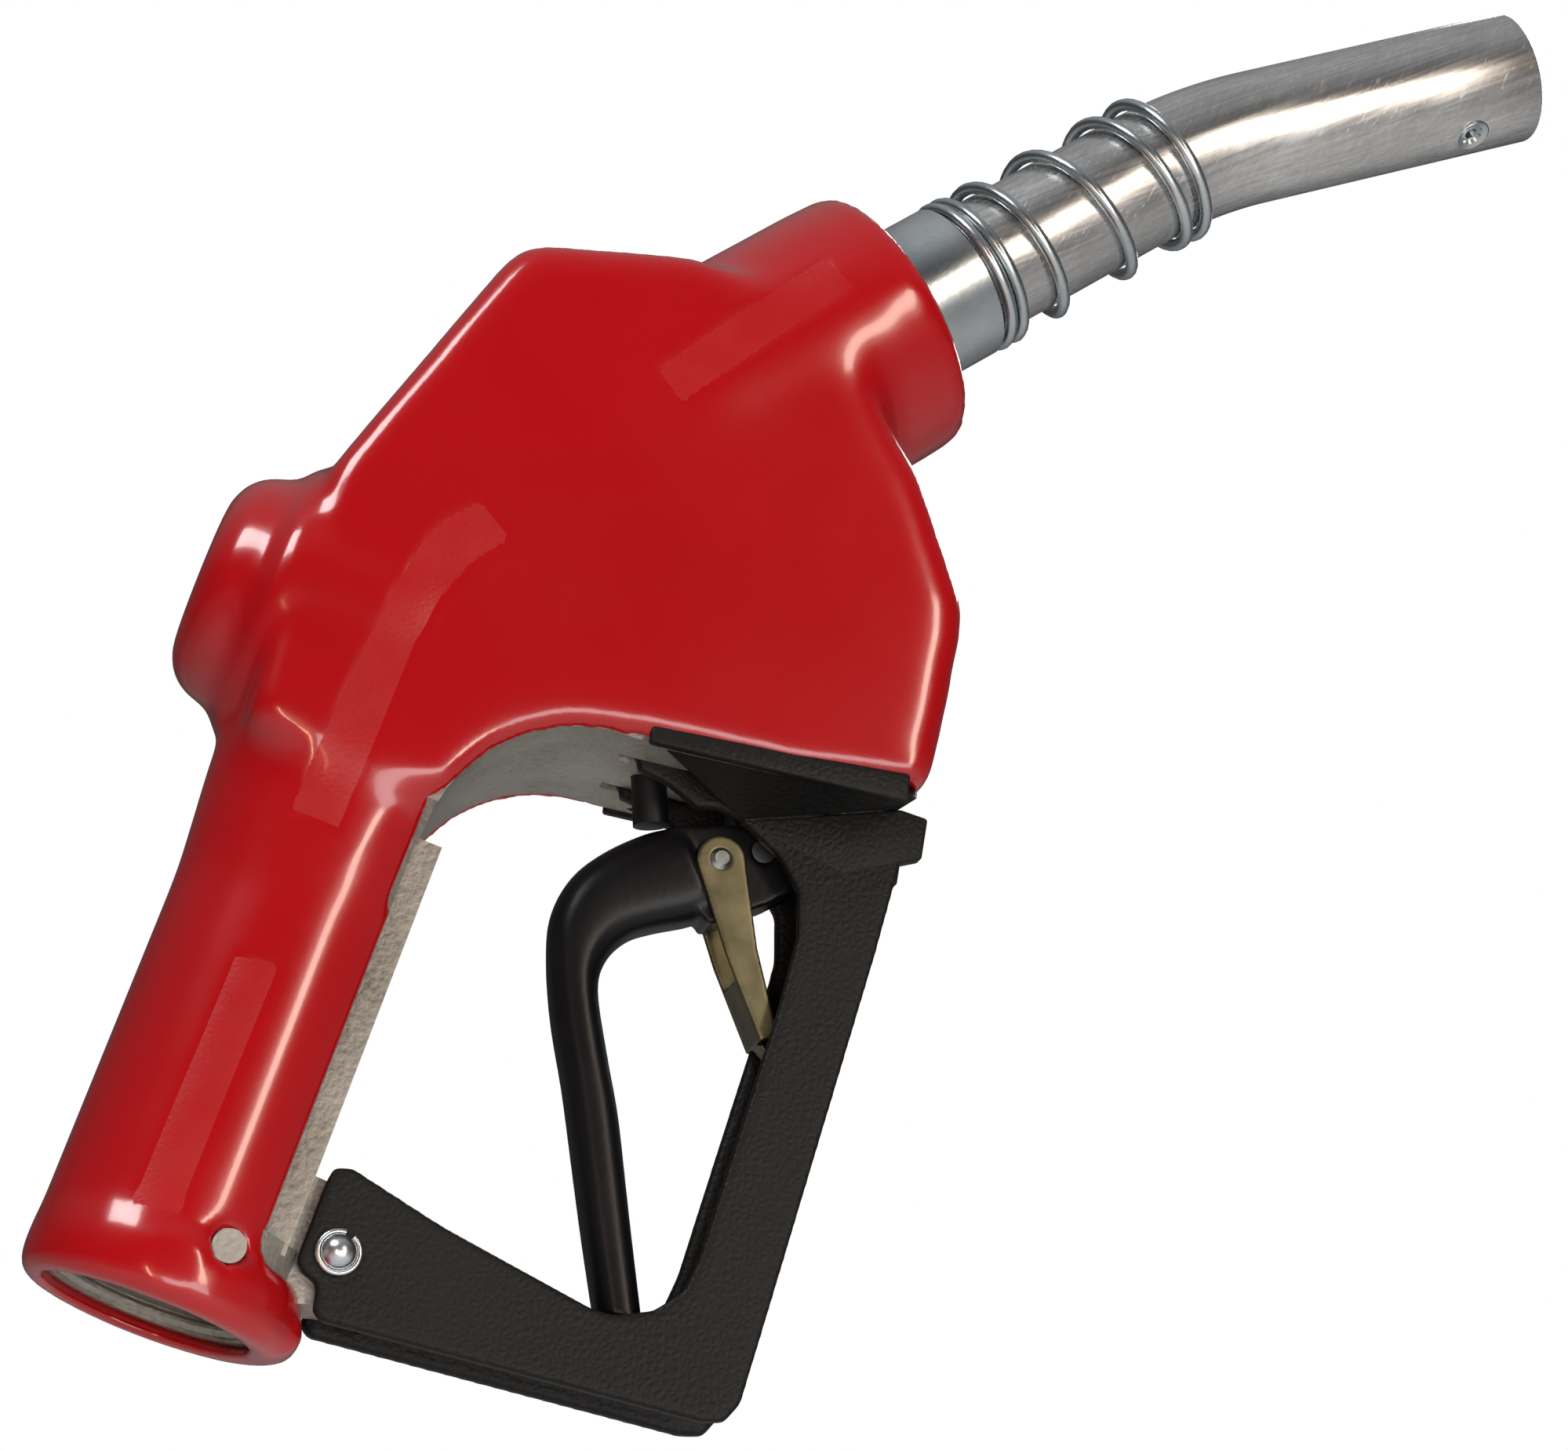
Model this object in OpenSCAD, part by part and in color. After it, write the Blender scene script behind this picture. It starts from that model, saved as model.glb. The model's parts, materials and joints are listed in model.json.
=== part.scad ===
// Automatic shut-off fuel nozzle with a vinyl cover, a lever and a lever guard.
// Millimetres. It is drawn in a grip frame: the origin is the centre of the hose inlet,
// +X runs along the grip into the body, +Z points to the back of the hand and Y is across.
// The whole part is then turned about Y, to the attitude in which it hangs in its holster.

/* [Attitude] */
// Angle of the grip above the horizontal, in degrees
hang_angle = 71; // [0:1:90]

/* [Inlet and grip] */
// Radius of the smooth bore that stands for the inlet thread
inlet_r = 16; // [14:0.1:16.5]
// Length of the inlet thread
inlet_len = 20; // [14:0.5:26]
// Radius of the cast grip
grip_r = 18; // [17:0.1:21]
// Length of the grip from the inlet to the body
grip_len = 96; // [84:1:120]
// Radius of the fuel passage in the grip
passage_r = 9; // [7:0.1:10]
// Radius of the thickened mouth of the casting
mouth_r = 19.6; // [19:0.1:23]

/* [Body and cover] */
// Half the width of the cast body
body_half = 20.5; // [18:0.1:24]
// Thickness of the vinyl cover
cover_wall = 2.5; // [1.6:0.1:3.2]
// Gap between the cover and the casting
cover_gap = 0.1; // [0.05:0.05:0.3]
// Radius of the arch over the first finger
arch_r = 27; // [24:0.5:29]
// Radius of the dome on the back of the body
dome_r = 20; // [17:0.5:22]
// Height of the dome over the grip axis
dome_top = 35.5; // [33:0.5:40]

/* [Valve mechanism] */
// Angle of the valve stem and of the trip plunger from the grip
valve_angle = 22; // [14:1:26]
// Distance of the stem from the lever's fulcrum
stem_arm = 18; // [17:0.5:20]
// Radius of the valve stem
stem_r = 3; // [2.5:0.1:3.2]
// Radius of the main valve chamber
chamber_r = 13; // [12:0.1:13.5]
// Height of the seat over the fulcrum
seat_u = 62; // [60:0.5:66]
// Radius of the seat's port
port_r = 8; // [7:0.1:8.5]
// Radius of the trip plunger
plunger_r = 5; // [4.5:0.1:5.4]
// Outer radius of the trip housing
housing_r = 12.5; // [12:0.1:13]

/* [Lever and clip] */
// Width of the lever
lever_w = 11.6; // [9:0.1:12]
// Width of the lever's narrow front block
block_w = 9; // [7:0.1:10]
// Thickness of the clip's sheet
clip_t = 1; // [0.8:0.1:1.4]

/* [Guard] */
// Width over the two walls of the guard
guard_w = 20; // [18:0.5:24]
// Thickness of each wall of the guard
guard_t = 3; // [2:0.1:3.4]
// Radius of the guard's rivet
rivet_r = 2.4; // [1.8:0.1:3]

/* [Spout] */
// Outer radius of the spout tube
spout_r = 11.9; // [10:0.1:12.5]
// Wall of the spout tube
spout_wall = 1.3; // [1:0.1:2]
// Outer radius of the adapter sleeve
sleeve_r = 14.1; // [13.5:0.1:15]
// Angle of the spout's base from the grip
spout_angle = 37.5; // [34:0.5:40]
// Angle of the bend in the spout
bend_angle = 15; // [5:1:25]
// Length of the straight tube after the bend
tip_len = 53; // [40:1:80]
// Radius of the spout spring's wire
wire_r = 1.1; // [0.8:0.1:1.3]

/* [Hidden] */
$fn = 64;
run_gap = 0.05;   // radial clearance of a running fit
seat_gap = 0.1;   // clearance between parts that are assembled and stay put
big = 200;        // longer than any cut

// Grip: its axis lies a little towards the back of the hand
grip_z = 0.8;
mouth_z = -0.6;
mouth_len = 14;
lip_r = 17;       // opening in the cover's end
lip_t = 2;
rim_r = mouth_r + cover_gap + cover_wall;
cover_skin = cover_gap + cover_wall;
bevel = 8;        // rounding of the body's long edges, as a chamfer under the cover

// Arch over the first finger
arch_x = grip_len - 13;
arch_z = -39.5;

// Fulcrum of the lever at rest, on the plunger's axis
fulcrum_x = grip_len + 9;
fulcrum_z = -67;

// Spout: base point in the collar's front face
nose_x = grip_len + 109;
nose_z = -56.5;
nose_r = 21.4;
nose_back = 42;
bend_r = 90;
bend_s = 56;      // station at which the bend begins
sleeve_end = 15;
tube_back = 8;    // how far the tube reaches back into the adapter
adapter_back = 22;
bore_back = 27;   // depth of the body's bore for the adapter

// Dome
dome_x = grip_len + 19;

// ---------------------------------------------------------------- frames and helpers

module hang() {
    rotate([0, -hang_angle, 0]) children();
}

// Side outline in X and Z, spread to both sides of the middle plane
module slab(points, half) {
    rotate([90, 0, 0]) linear_extrude(height = 2 * half, center = true) polygon(points);
}

// Round bar along +X from x0 to x1
module rod(x0, x1, r) {
    translate([x0, 0, 0]) rotate([0, 90, 0]) cylinder(h = x1 - x0, r = r);
}

// Round bar across the middle plane
module cross_rod(half, r) {
    rotate([90, 0, 0]) cylinder(h = 2 * half, r = r, center = true);
}

// Ring along +X
module tube(x0, x1, r_out, r_in) {
    difference() {
        rod(x0, x1, r_out);
        rod(x0 - 1, x1 + 1, r_in);
    }
}

// O-ring round the X axis
module oring(x, r, wire) {
    translate([x, 0, 0]) rotate([0, 90, 0]) rotate_extrude() translate([r, 0]) circle(r = wire, $fn = 24);
}

// Frame of the valve stem and the plunger: X along them, Z from the plunger to the stem
module at_fulcrum() {
    translate([fulcrum_x, 0, fulcrum_z]) rotate([0, -valve_angle, 0]) children();
}

module at_stem() {
    at_fulcrum() translate([0, 0, stem_arm]) children();
}

// Frame of the spout's straight base: X along it, from the collar's front face
module at_nose() {
    translate([nose_x, 0, nose_z]) rotate([0, spout_angle, 0]) children();
}

// Frame of the spout's straight end: X along it, from the end of the bend
module at_tip() {
    at_nose() translate([bend_s, 0, -bend_r]) rotate([0, bend_angle, 0])
        translate([0, 0, bend_r]) children();
}

// Coil spring round the X axis, as one swept tube
function coil_point(s, r, turns, sides, wire, k) =
    let (a = 360 * turns * s[0], b = 360 * k / sides)
    [s[1] + wire * sin(b), (r + wire * cos(b)) * cos(a), (r + wire * cos(b)) * sin(a)];

module coil(stations, r, turns, wire, sides = 6) {
    n = len(stations);
    points = [for (s = stations) for (k = [0:sides - 1]) coil_point(s, r, turns, sides, wire, k)];
    skin = [for (i = [0:n - 2]) for (k = [0:sides - 1])
        [i * sides + k, (i + 1) * sides + k, (i + 1) * sides + (k + 1) % sides,
         i * sides + (k + 1) % sides]];
    first = [for (k = [0:sides - 1]) k];
    last = [for (k = [sides - 1:-1:0]) (n - 1) * sides + k];
    polyhedron(points = points, faces = concat([first], skin, [last]), convexity = 6);
}

// Even coil from x0 to x1
function even_run(x0, x1, steps) = [for (i = [0:steps]) [i / steps, x0 + (x1 - x0) * i / steps]];

// ---------------------------------------------------------------- outlines

// Closed outline of the main block, grown by g
function block_outline(g) = [
    [grip_len - 14, -13 - g], [grip_len - 14, 18.8 + g], [grip_len + 38, 20.2 + g],
    [grip_len + 84.5 + g, 4.2 + 0.4 * g], [grip_len + 94 + g, -20 - 0.4 * g],
    [grip_len + 92 + g, -46], [grip_len + 75, -66 - g], [grip_len + 55.5, -80.5 - g],
    [grip_len + 26, -84.5 - g], [grip_len + 22, -82.5 - g], [arch_x + arch_r, arch_z]
];

module block(g) {
    hull() {
        slab(block_outline(g), body_half + g - bevel);
        slab([for (p = block_outline(g)) [p[0] * 0.9 + 13.6, p[1] * 0.82 - 5.4]], body_half + g);
    }
}

// Solid outside of the casting, grown by g for the cover
module casting_form(g) {
    translate([0, 0, grip_z]) rod(0, grip_len + 6, grip_r + g);
    translate([0, 0, mouth_z]) rod(0, mouth_len, mouth_r + g);
    block(g);
    at_nose() rod(-nose_back, 0, nose_r + g);
    translate([dome_x, 0, grip_z])
        cylinder(h = dome_top - cover_skin - grip_z + g, r = dome_r - cover_skin + g);
}

// Space under the arch and in front of the grip, where the hand and the lever are
module under_arch(r, floor_z, face_x, half) {
    translate([arch_x, 0, arch_z]) cross_rod(half, r);
    slab([[arch_x - 4, floor_z], [arch_x, arch_z + r], [arch_x + 1, arch_z - 60],
          [mouth_len, arch_z - 60], [mouth_len, floor_z]], half);
    slab([[arch_x - 1, arch_z], [arch_x + r, arch_z], [face_x + 8, arch_z - 52],
          [face_x, -140], [arch_x - 1, -140]], half);
}

// ---------------------------------------------------------------- body and cover

module casting_ways() {
    // Inlet thread and the passage behind it
    rod(-1, inlet_len, inlet_r);
    translate([inlet_len - 0.5, 0, 0]) rotate([0, 90, 0]) cylinder(h = 8, r1 = inlet_r - 1, r2 = passage_r);
    rod(inlet_len, grip_len + 8, passage_r);
    translate([grip_len + 2, 0, 0]) rotate([0, 8, 0]) rod(0, 56, passage_r - 0.6);
    // Plug in the back of the body
    translate([dome_x, 0, 0]) cylinder(h = big, r = plug_r);
    at_stem() {
        rod(seat_u, big, chamber_r);
        rod(seat_u - seat_t, seat_u + 1, seat_or);
        rod(seat_u - 12, seat_u, seat_or - 1.4);
        rod(packing_u, seat_u, packing_r);
        rod(0, seat_u, stem_r + run_gap);
    }
    at_fulcrum() {
        rod(-4, diaphragm_u + 8, housing_r + seat_gap / 2);
        // Way from below the seat to the spout
        translate([seat_u - 7, 0, -8]) cylinder(h = stem_arm + 8, r = 5);
        translate([0, 0, -8]) rod(seat_u - 12, seat_u + 22, 6.5);
    }
    at_nose() {
        rod(-bore_back, 1, adapter_r + seat_gap / 2);
        rod(-bore_back - 6, 1, 9);
    }
}

plug_r = 14;
seat_or = 11.4;
seat_t = 3;
packing_r = 5.4;
packing_u = 40;
diaphragm_u = 30;
adapter_r = 15.6;

module valve_body() {
    color([0.60, 0.58, 0.54]) hang() difference() {
        union() {
            difference() {
                casting_form(0);
                under_arch(arch_r - 0.4, grip_z - grip_r + 1.2, arch_x + arch_r - 0.4, 60);
            }
            // Flat land under the grip
            slab([[mouth_len - 2, 0], [arch_x, 0], [arch_x, grip_z - grip_r + 0.4],
                  [mouth_len - 2, grip_z - grip_r + 0.4]], 12);
            // Lug for the foot of the guard
            slab([[6, -10], [27, -10], [26.5, -20], [23, -30], [9, -30], [6.4, -20]], lug_half);
            // Lug between the guard's upper ears
            slab([[arch_x + arch_r + 4, -44], [grip_len + 30, -44], [grip_len + 30, -84],
                  [grip_len + 24.5, -84]], lug_half);
            // Flush boss that shows in the cover's hole
            for (side = [-1, 1]) translate([9, 0, -8]) rotate([90 * side, 0, 0])
                cylinder(h = 19.8, r = 2.7);
        }
        casting_ways();
        // Slots for the guard's upper ears
        for (side = [-1, 1]) translate([0, side * (guard_w / 2 - guard_t / 2), 0])
            slab([[grip_len + 2, -38.6], [grip_len + 19.6, -38.6],
                  [grip_len + 19.6, -90], [grip_len + 2, -90]],
                 guard_t / 2 + seat_gap);
        for (side = [-1, 1]) translate([0, side * (guard_w / 2 - guard_t / 2), 0]) at_fulcrum()
            slab(ear_outline(seat_gap), guard_t / 2 + seat_gap);
        at_fulcrum() for (p = ear_screws) translate([p[0], 0, p[1]]) cross_rod(guard_w / 2 + 9, 1.8);
        at_fulcrum() for (p = ear_screws) for (side = [-1, 1])
            translate([p[0], side * (guard_w / 2 + 6), p[1]])
            rotate([90, 0, 0]) cylinder(h = 12, r = 3.4, center = true);
        at_nose() translate([-5, 0, -25]) cylinder(h = 14, r = 1.7);
        translate([rivet_x, 0, rivet_z]) cross_rod(30, rivet_r + run_gap);
        // The guard's foot clears the grip
        for (side = [-1, 1]) translate([0, side * (guard_w / 2 - guard_t / 2), 0])
            slab([[-1, -18.6], [32, -18.6], [32, -40], [-1, -40]], guard_t / 2 + seat_gap);
    }
}

lug_half = guard_w / 2 - guard_t - seat_gap;
rivet_x = 16;
rivet_z = -24.5;
ear_screws = [[21.5, 18.6], [20, -18]];  // in the fulcrum frame

module vinyl_cover() {
    color([0.72, 0.03, 0.05]) hang() difference() {
        union() {
            casting_form(cover_skin);
            // Rounded end lip and its corner at the lever's side
            translate([-lip_t, 0, mouth_z]) rod(0, lip_t + 1, rim_r);
            slab([[-lip_t, -20], [5.4, -20], [3, mouth_z - rim_r - 1.2],
                  [-lip_t + 1, mouth_z - rim_r - 1.2]], 7);
            // Step ring round the dome
            translate([dome_x, 0, grip_z]) cylinder(h = 24.5, r = dome_r + 4);
        }
        difference() {
            casting_form(cover_gap);
            translate([-big, -big / 2, -big / 2]) cube([big, big, big]);
        }
        translate([-lip_t - 1, 0, 0]) rod(0, 10, lip_r);
        intersection() {
            under_arch(arch_r, grip_z - grip_r + 4.7, arch_x + arch_r, 60);
            translate([mouth_len - 6, -60, -big]) cube([big, 120, big]);
        }
        // The underside is open between the two lips
        slab([[mouth_len - 4, -40], [mouth_len - 4, -8], [grip_len - 8, -8], [grip_len + 8, -20],
              [grip_len + 19, -44], [grip_len + 26, -84], [grip_len, -84], [grip_len - 20, -40]], 17.4);
        // Notch for the body's lower lug
        slab([[5.8, -40], [5.8, -8], [mouth_len, -8], [mouth_len, -40]], lug_half + 0.3);
        // Notch in the front corner for the leg of the guard
        slab([[grip_len, -70], [grip_len + 32, -70], [grip_len + 32, -120], [grip_len, -120]],
             guard_w / 2 + 0.4);
        for (side = [-1, 1]) translate([9, 0, -8]) rotate([90 * side, 0, 0]) cylinder(h = 40, r = 2.75);
    }
}

module body_plug() {
    color([0.55, 0.54, 0.52]) hang() translate([dome_x, 0, 0]) difference() {
        union() {
            translate([0, 0, 12]) cylinder(h = dome_top - cover_skin - 12 - 0.2, r = plug_r - seat_gap);
        }
        translate([0, 0, dome_top - cover_skin - 6]) cylinder(h = 10, r = 7, $fn = 6);
        translate([0, 0, 18]) rotate_extrude() translate([plug_r - 0.95, 0]) circle(r = 0.95, $fn = 24);
    }
}

module plug_oring() {
    color([0.08, 0.08, 0.08]) hang() translate([dome_x, 0, 18])
        rotate_extrude() translate([plug_r - 0.95, 0]) circle(r = 0.9, $fn = 24);
}

// ---------------------------------------------------------------- main valve

cap_u = seat_u + 24;
cap_len = 10;

module poppet_cap() {
    color([0.62, 0.60, 0.57]) hang() at_stem() difference() {
        rod(cap_u, cap_u + cap_len, chamber_r - seat_gap);
        translate([cap_u + cap_len - 5, 0, 0]) rotate([0, 90, 0]) cylinder(h = 6, r = 6, $fn = 6);
        rod(cap_u - 1, cap_u + 5, 8);
        translate([cap_u + 4, 0, 0]) rotate([0, 90, 0])
            rotate_extrude() translate([chamber_r - 0.95, 0]) circle(r = 0.95, $fn = 24);
    }
}

module cap_oring() {
    color([0.07, 0.07, 0.07]) hang() at_stem() oring(cap_u + 4, chamber_r - 0.95, 0.9);
}

module poppet_spring() {
    color([0.75, 0.75, 0.78]) hang() at_stem()
        coil(even_run(seat_u + 7.2, cap_u + 4.0, 60), 6.4, 5, 0.7);
}

module main_poppet() {
    color([0.72, 0.58, 0.30]) hang() at_stem() difference() {
        union() {
            rod(seat_u + 1.6, seat_u + 4.6, 10.6);
            rod(seat_u + 4.6, seat_u + 13, 5);
        }
        rod(seat_u, seat_u + 9, stem_r - 0.6 + run_gap);
    }
}

module poppet_seal() {
    color([0.10, 0.10, 0.10]) hang() at_stem() tube(seat_u + 0.1, seat_u + 1.6, 10.4, 4);
}

module valve_seat() {
    color([0.78, 0.62, 0.30]) hang() at_stem() tube(seat_u - seat_t, seat_u, seat_or - 0.02, port_r);
}

stem_foot = 5.4;  // height of the stem's end over the fulcrum

module valve_stem() {
    color([0.80, 0.80, 0.82]) hang() at_stem() {
        rod(stem_foot, seat_u + 1.5, stem_r);
        rod(seat_u + 1.5, seat_u + 8.8, stem_r - 0.6);
    }
}

module stem_packing() {
    color([0.92, 0.90, 0.84]) hang() at_stem() for (i = [0:2])
        tube(packing_u + 0.2 + 2.1 * i, packing_u + 2.2 + 2.1 * i, packing_r - 0.05, stem_r + run_gap);
}

module packing_nut() {
    color([0.78, 0.62, 0.30]) hang() at_stem()
        tube(packing_u + 6.6, packing_u + 9.8, packing_r - 0.05, stem_r + run_gap);
}

// ---------------------------------------------------------------- trip mechanism

housing_u = 13;
ball_u = 20;
ball_r = 1.7;
pin_r = 2.4;

module trip_housing() {
    color([0.78, 0.62, 0.30]) hang() at_fulcrum() difference() {
        rod(housing_u, diaphragm_u, housing_r);
        rod(0, big, plunger_r + run_gap);
        // Room for the plunger's shoulder and its spring
        rod(housing_u + 4.5, diaphragm_u + 1, plunger_r + 3.2);
        // Flutes for the balls
        for (i = [0:2]) rotate([60 + 120 * i, 0, 0]) translate([0, 0, 4.4]) rod(0, big, ball_r + 0.25);
    }
}

module trip_plunger() {
    color([0.72, 0.74, 0.76]) hang() at_fulcrum() difference() {
        union() {
            rod(7.6, diaphragm_u - 3.4, plunger_r);
            rod(diaphragm_u - 4.4, diaphragm_u - 2.6, plunger_r + 2.4);
            // Flat eye that the lever turns on
            translate([-4, -eye_half, -plunger_r]) cube([12, 2 * eye_half, 2 * plunger_r]);
            translate([-1, 0, 0]) cross_rod(eye_half, plunger_r);
        }
        cross_rod(10, 2 + run_gap);
        rod(9, big, pin_r + run_gap);
        for (i = [0:2]) rotate([60 + 120 * i, 0, 0]) translate([ball_u, 0, 0])
            cylinder(h = 10, r = ball_r + run_gap);
    }
}

eye_half = 2.2;

module plunger_spring() {
    color([0.75, 0.75, 0.78]) hang() at_fulcrum()
        coil(even_run(housing_u + 5.2, diaphragm_u - 5.2, 36), plunger_r + 1.7, 3, 0.5);
}

module latch_pin() {
    color([0.80, 0.80, 0.82]) hang() at_fulcrum() {
        rod(13, diaphragm_u + 2, pin_r);
        rod(diaphragm_u + 1.7, diaphragm_u + 3, 6);
    }
}

module latch_balls() {
    color([0.85, 0.85, 0.86]) hang() at_fulcrum() for (i = [0:2])
        rotate([60 + 120 * i, 0, 0]) translate([ball_u, 0, pin_r + ball_r + 0.06]) sphere(r = ball_r);
}

module diaphragm() {
    color([0.12, 0.12, 0.12]) hang() at_fulcrum()
        tube(diaphragm_u + 0.1, diaphragm_u + 1.5, housing_r - 0.1, pin_r + 0.1);
}

module diaphragm_cap() {
    color([0.62, 0.60, 0.57]) hang() at_fulcrum() difference() {
        rod(diaphragm_u + 1.6, diaphragm_u + 7.9, housing_r - 0.05);
        rod(diaphragm_u, diaphragm_u + 6.9, housing_r - 3);
    }
}

module diaphragm_spring() {
    color([0.75, 0.75, 0.78]) hang() at_fulcrum()
        coil(even_run(diaphragm_u + 3.5, diaphragm_u + 6.4, 28), 4.2, 2.2, 0.4);
}

// ---------------------------------------------------------------- lever and clip

// Side outline of the lever's handle, in the fulcrum frame
lever_leg = [[1.5, 23.5], [-1.5, 28.5], [-6, 33], [-12, 36], [-18.5, 36.6], [-26, 36.2], [-76, 30.4],
             [-76.5, 22.4], [-34, 28], [-28, 28.2], [-22, 27], [-18, 23], [-16, 17], [-14, 14]];

module lever() {
    color([0.05, 0.05, 0.05]) hang() at_fulcrum() difference() {
        union() {
            slab(lever_leg, lever_w / 2);
            slab([[1.5, 23.5], [-14, 17], [-12, 14], [4.2, 20]], lever_w / 2);
            slab([[4.2, 20], [-12.5, 10], [-9, 0], [-6.5, -5.5], [4.4, -5.5], [4.6, 6]], block_w / 2);
        }
        // Fork for the plunger's eye
        translate([-8, -eye_half - 0.3, -10]) cube([20, 2 * eye_half + 0.6, 10 + plunger_r + 2.5]);
        cross_rod(10, 2 + run_gap);
        at_eye() cross_rod(10, 1.5 + run_gap);
    }
}

module lever_pin() {
    color([0.80, 0.80, 0.82]) hang() at_fulcrum() {
        cross_rod(block_w / 2 - 0.1, 2);
    }
}

// Frame of the clip's rivet, X along the arm towards its tip
clip_u = -1.6;
clip_v = 7.5;
clip_lean = 193;

module at_eye() {
    translate([clip_u, 0, clip_v]) rotate([0, -clip_lean, 0]) children();
}

module hold_open_clip() {
    inner = lever_w / 2 - 1.2;
    color([0.62, 0.55, 0.33]) hang() at_fulcrum() at_eye() difference() {
        union() {
            // Two ears and arms
            for (side = [-1, 1]) translate([0, side * (inner + clip_t / 2), 0]) {
                cross_rod(clip_t / 2, 4.1);
                slab([[0, 4.1], [0, -4.1], [16, -3.6], [31, -2], [31, 1.2], [16, 1.8]], clip_t / 2);
            }
            // Folded back, clear of the lever
            slab([[20, -3.2], [31, -2.1], [31, -1.1], [20, -2.2]], inner + clip_t / 2);
            // Narrow tongue at the end
            slab([[30, -2.1], [36, 0.6], [36, 1.6], [30, -1.1]], 2.4);
        }
        cross_rod(10, 1.5 + run_gap);
    }
}

module clip_rivet() {
    inner = lever_w / 2 - 1.2;
    color([0.82, 0.82, 0.84]) hang() at_fulcrum() at_eye() {
        cross_rod(inner + clip_t + 0.1, 1.5);
        for (side = [-1, 1]) rotate([90 * side, 0, 0])
            translate([0, 0, inner + clip_t + 0.05]) cylinder(h = 0.8, r1 = 1.9, r2 = 1.2);
    }
}

// ---------------------------------------------------------------- guard

front_z = -92.5;  // outer face of the guard's leg

// Outline of the guard's wall: foot, rail, leg and upper tab, with its window as a second path
guard_outer = [[5, -25.5], [11.5, front_z + 5], [12.8, front_z + 1.5], [16.5, front_z], [38, front_z + 0.8],
               [94, front_z + 3], [110, front_z + 4], [grip_len + 17.8, -85.6], [grip_len + 15, -42],
               [grip_len + 12.5, -42], [107, -61], [103.5, -69], [99, -74], [92, -76.4], [79, -77.4],
               [50, -78.2], [36, -78.6], [30, -78], [25.5, -74.5], [22.6, -69], [22.2, -65],
               [26, -38], [29.4, -22], [28.6, -19.2], [26, -18.8], [12.5, -18.8], [11, -20.5],
               [10.4, -23], [6.2, -24]];

// Hidden ears of the guard's walls on either side of the trip housing, in the fulcrum frame
function ear_outline(g) = [
    [16, 23.4 + g], [26 + g, 23.4 + g], [26 + g, housing_r + 1 - g], [11.8 + g, housing_r + 1 - g],
    [11.8 + g, -housing_r - 1 + g], [26 + g, -housing_r - 1 + g], [26 + g, -22 - g], [6, -23 - g], [6, 12]
];

module guard_wall() {
    slab(guard_outer, guard_t / 2);
    at_fulcrum() difference() {
        slab(ear_outline(0), guard_t / 2);
        for (p = ear_screws) translate([p[0], 0, p[1]]) cross_rod(10, 1.75);
    }
}

module lever_guard() {
    color([0.08, 0.08, 0.08]) hang() difference() {
        union() {
            for (side = [-1, 1]) translate([0, side * (guard_w / 2 - guard_t / 2), 0]) guard_wall();
            // Web along the front of the leg
            slab([[17, front_z + 0.4], [94, front_z + 3.4], [109, front_z + 4.4], [109, front_z + 7.2],
                  [94, front_z + 6.2], [17, front_z + 3.2]], guard_w / 2 - guard_t / 2);
            // Recessed web along the underside of the rail
            slab([[9.6, -33], [15.2, front_z + 3], [17.6, front_z + 3], [12.2, -33]],
                 guard_w / 2 - guard_t / 2);
        }
        translate([rivet_x, 0, rivet_z]) cross_rod(30, rivet_r + run_gap);
    }
}

module guard_screws() {
    color([0.70, 0.70, 0.72]) hang() at_fulcrum()
        for (p = ear_screws) for (side = [-1, 1]) translate([p[0], 0, p[1]]) {
        rotate([-90 * side, 0, 0]) translate([0, 0, stem_r + 0.9])
            cylinder(h = guard_w / 2 - stem_r - 0.6, r = 1.7);
        rotate([-90 * side, 0, 0]) translate([0, 0, guard_w / 2 + 0.3]) cylinder(h = 2.2, r = 3.2);
    }
}

module guard_rivet() {
    color([0.80, 0.80, 0.80]) hang() translate([rivet_x, 0, rivet_z]) {
        cross_rod(guard_w / 2 + 1.4, rivet_r);
        rotate([-90, 0, 0]) translate([0, 0, guard_w / 2 + 0.1]) cylinder(h = 1.6, r1 = 4, r2 = 2.8);
    }
}

module push_nut() {
    color([0.82, 0.83, 0.85]) hang() translate([rivet_x, 0, rivet_z]) rotate([90, 0, 0])
        translate([0, 0, guard_w / 2 + 0.05]) difference() {
            cylinder(h = 1.1, r1 = 3.4, r2 = 3.0);
            translate([0, 0, -1]) cylinder(h = 4, r = rivet_r + run_gap);
        }
}

// ---------------------------------------------------------------- spout

adapter_bore = spout_r + seat_gap / 2;

module spout_adapter() {
    color([0.68, 0.72, 0.76]) hang() at_nose() difference() {
        union() {
            rod(-adapter_back, 0.5, adapter_r - seat_gap / 2);
            rod(0, sleeve_end, sleeve_r);
        }
        rod(-tube_back, 40, adapter_bore);
        rod(-40, 0, 9.6);
        rotate([0, 90, 0]) translate([0, 0, -11]) rotate_extrude()
            translate([adapter_r - 0.95, 0]) circle(r = 0.95, $fn = 24);
        translate([-5, 0, -25]) cylinder(h = 14, r = 1.7);
    }
}

module adapter_oring() {
    color([0.07, 0.07, 0.07]) hang() at_nose() oring(-11, adapter_r - 0.95, 0.9);
}

module spout_screw() {
    color([0.70, 0.70, 0.72]) hang() at_nose() translate([-5, 0, -nose_r + 0.2]) {
        cylinder(h = 6.6, r = 1.6);
    }
}

// Bar round the bend, stretched past both of its ends by extra degrees
module bend_bar(r, offset_r, extra) {
    at_nose() translate([bend_s, 0, -bend_r]) rotate([90, 0, 0])
        rotate([0, 0, 90 - bend_angle - extra])
        rotate_extrude(angle = bend_angle + 2 * extra, $fn = 128)
        translate([bend_r + offset_r, 0]) circle(r = r);
}

bend_skin = 0.06;   // the bend's wall stands proud of the straight walls, which end inside it

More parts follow.
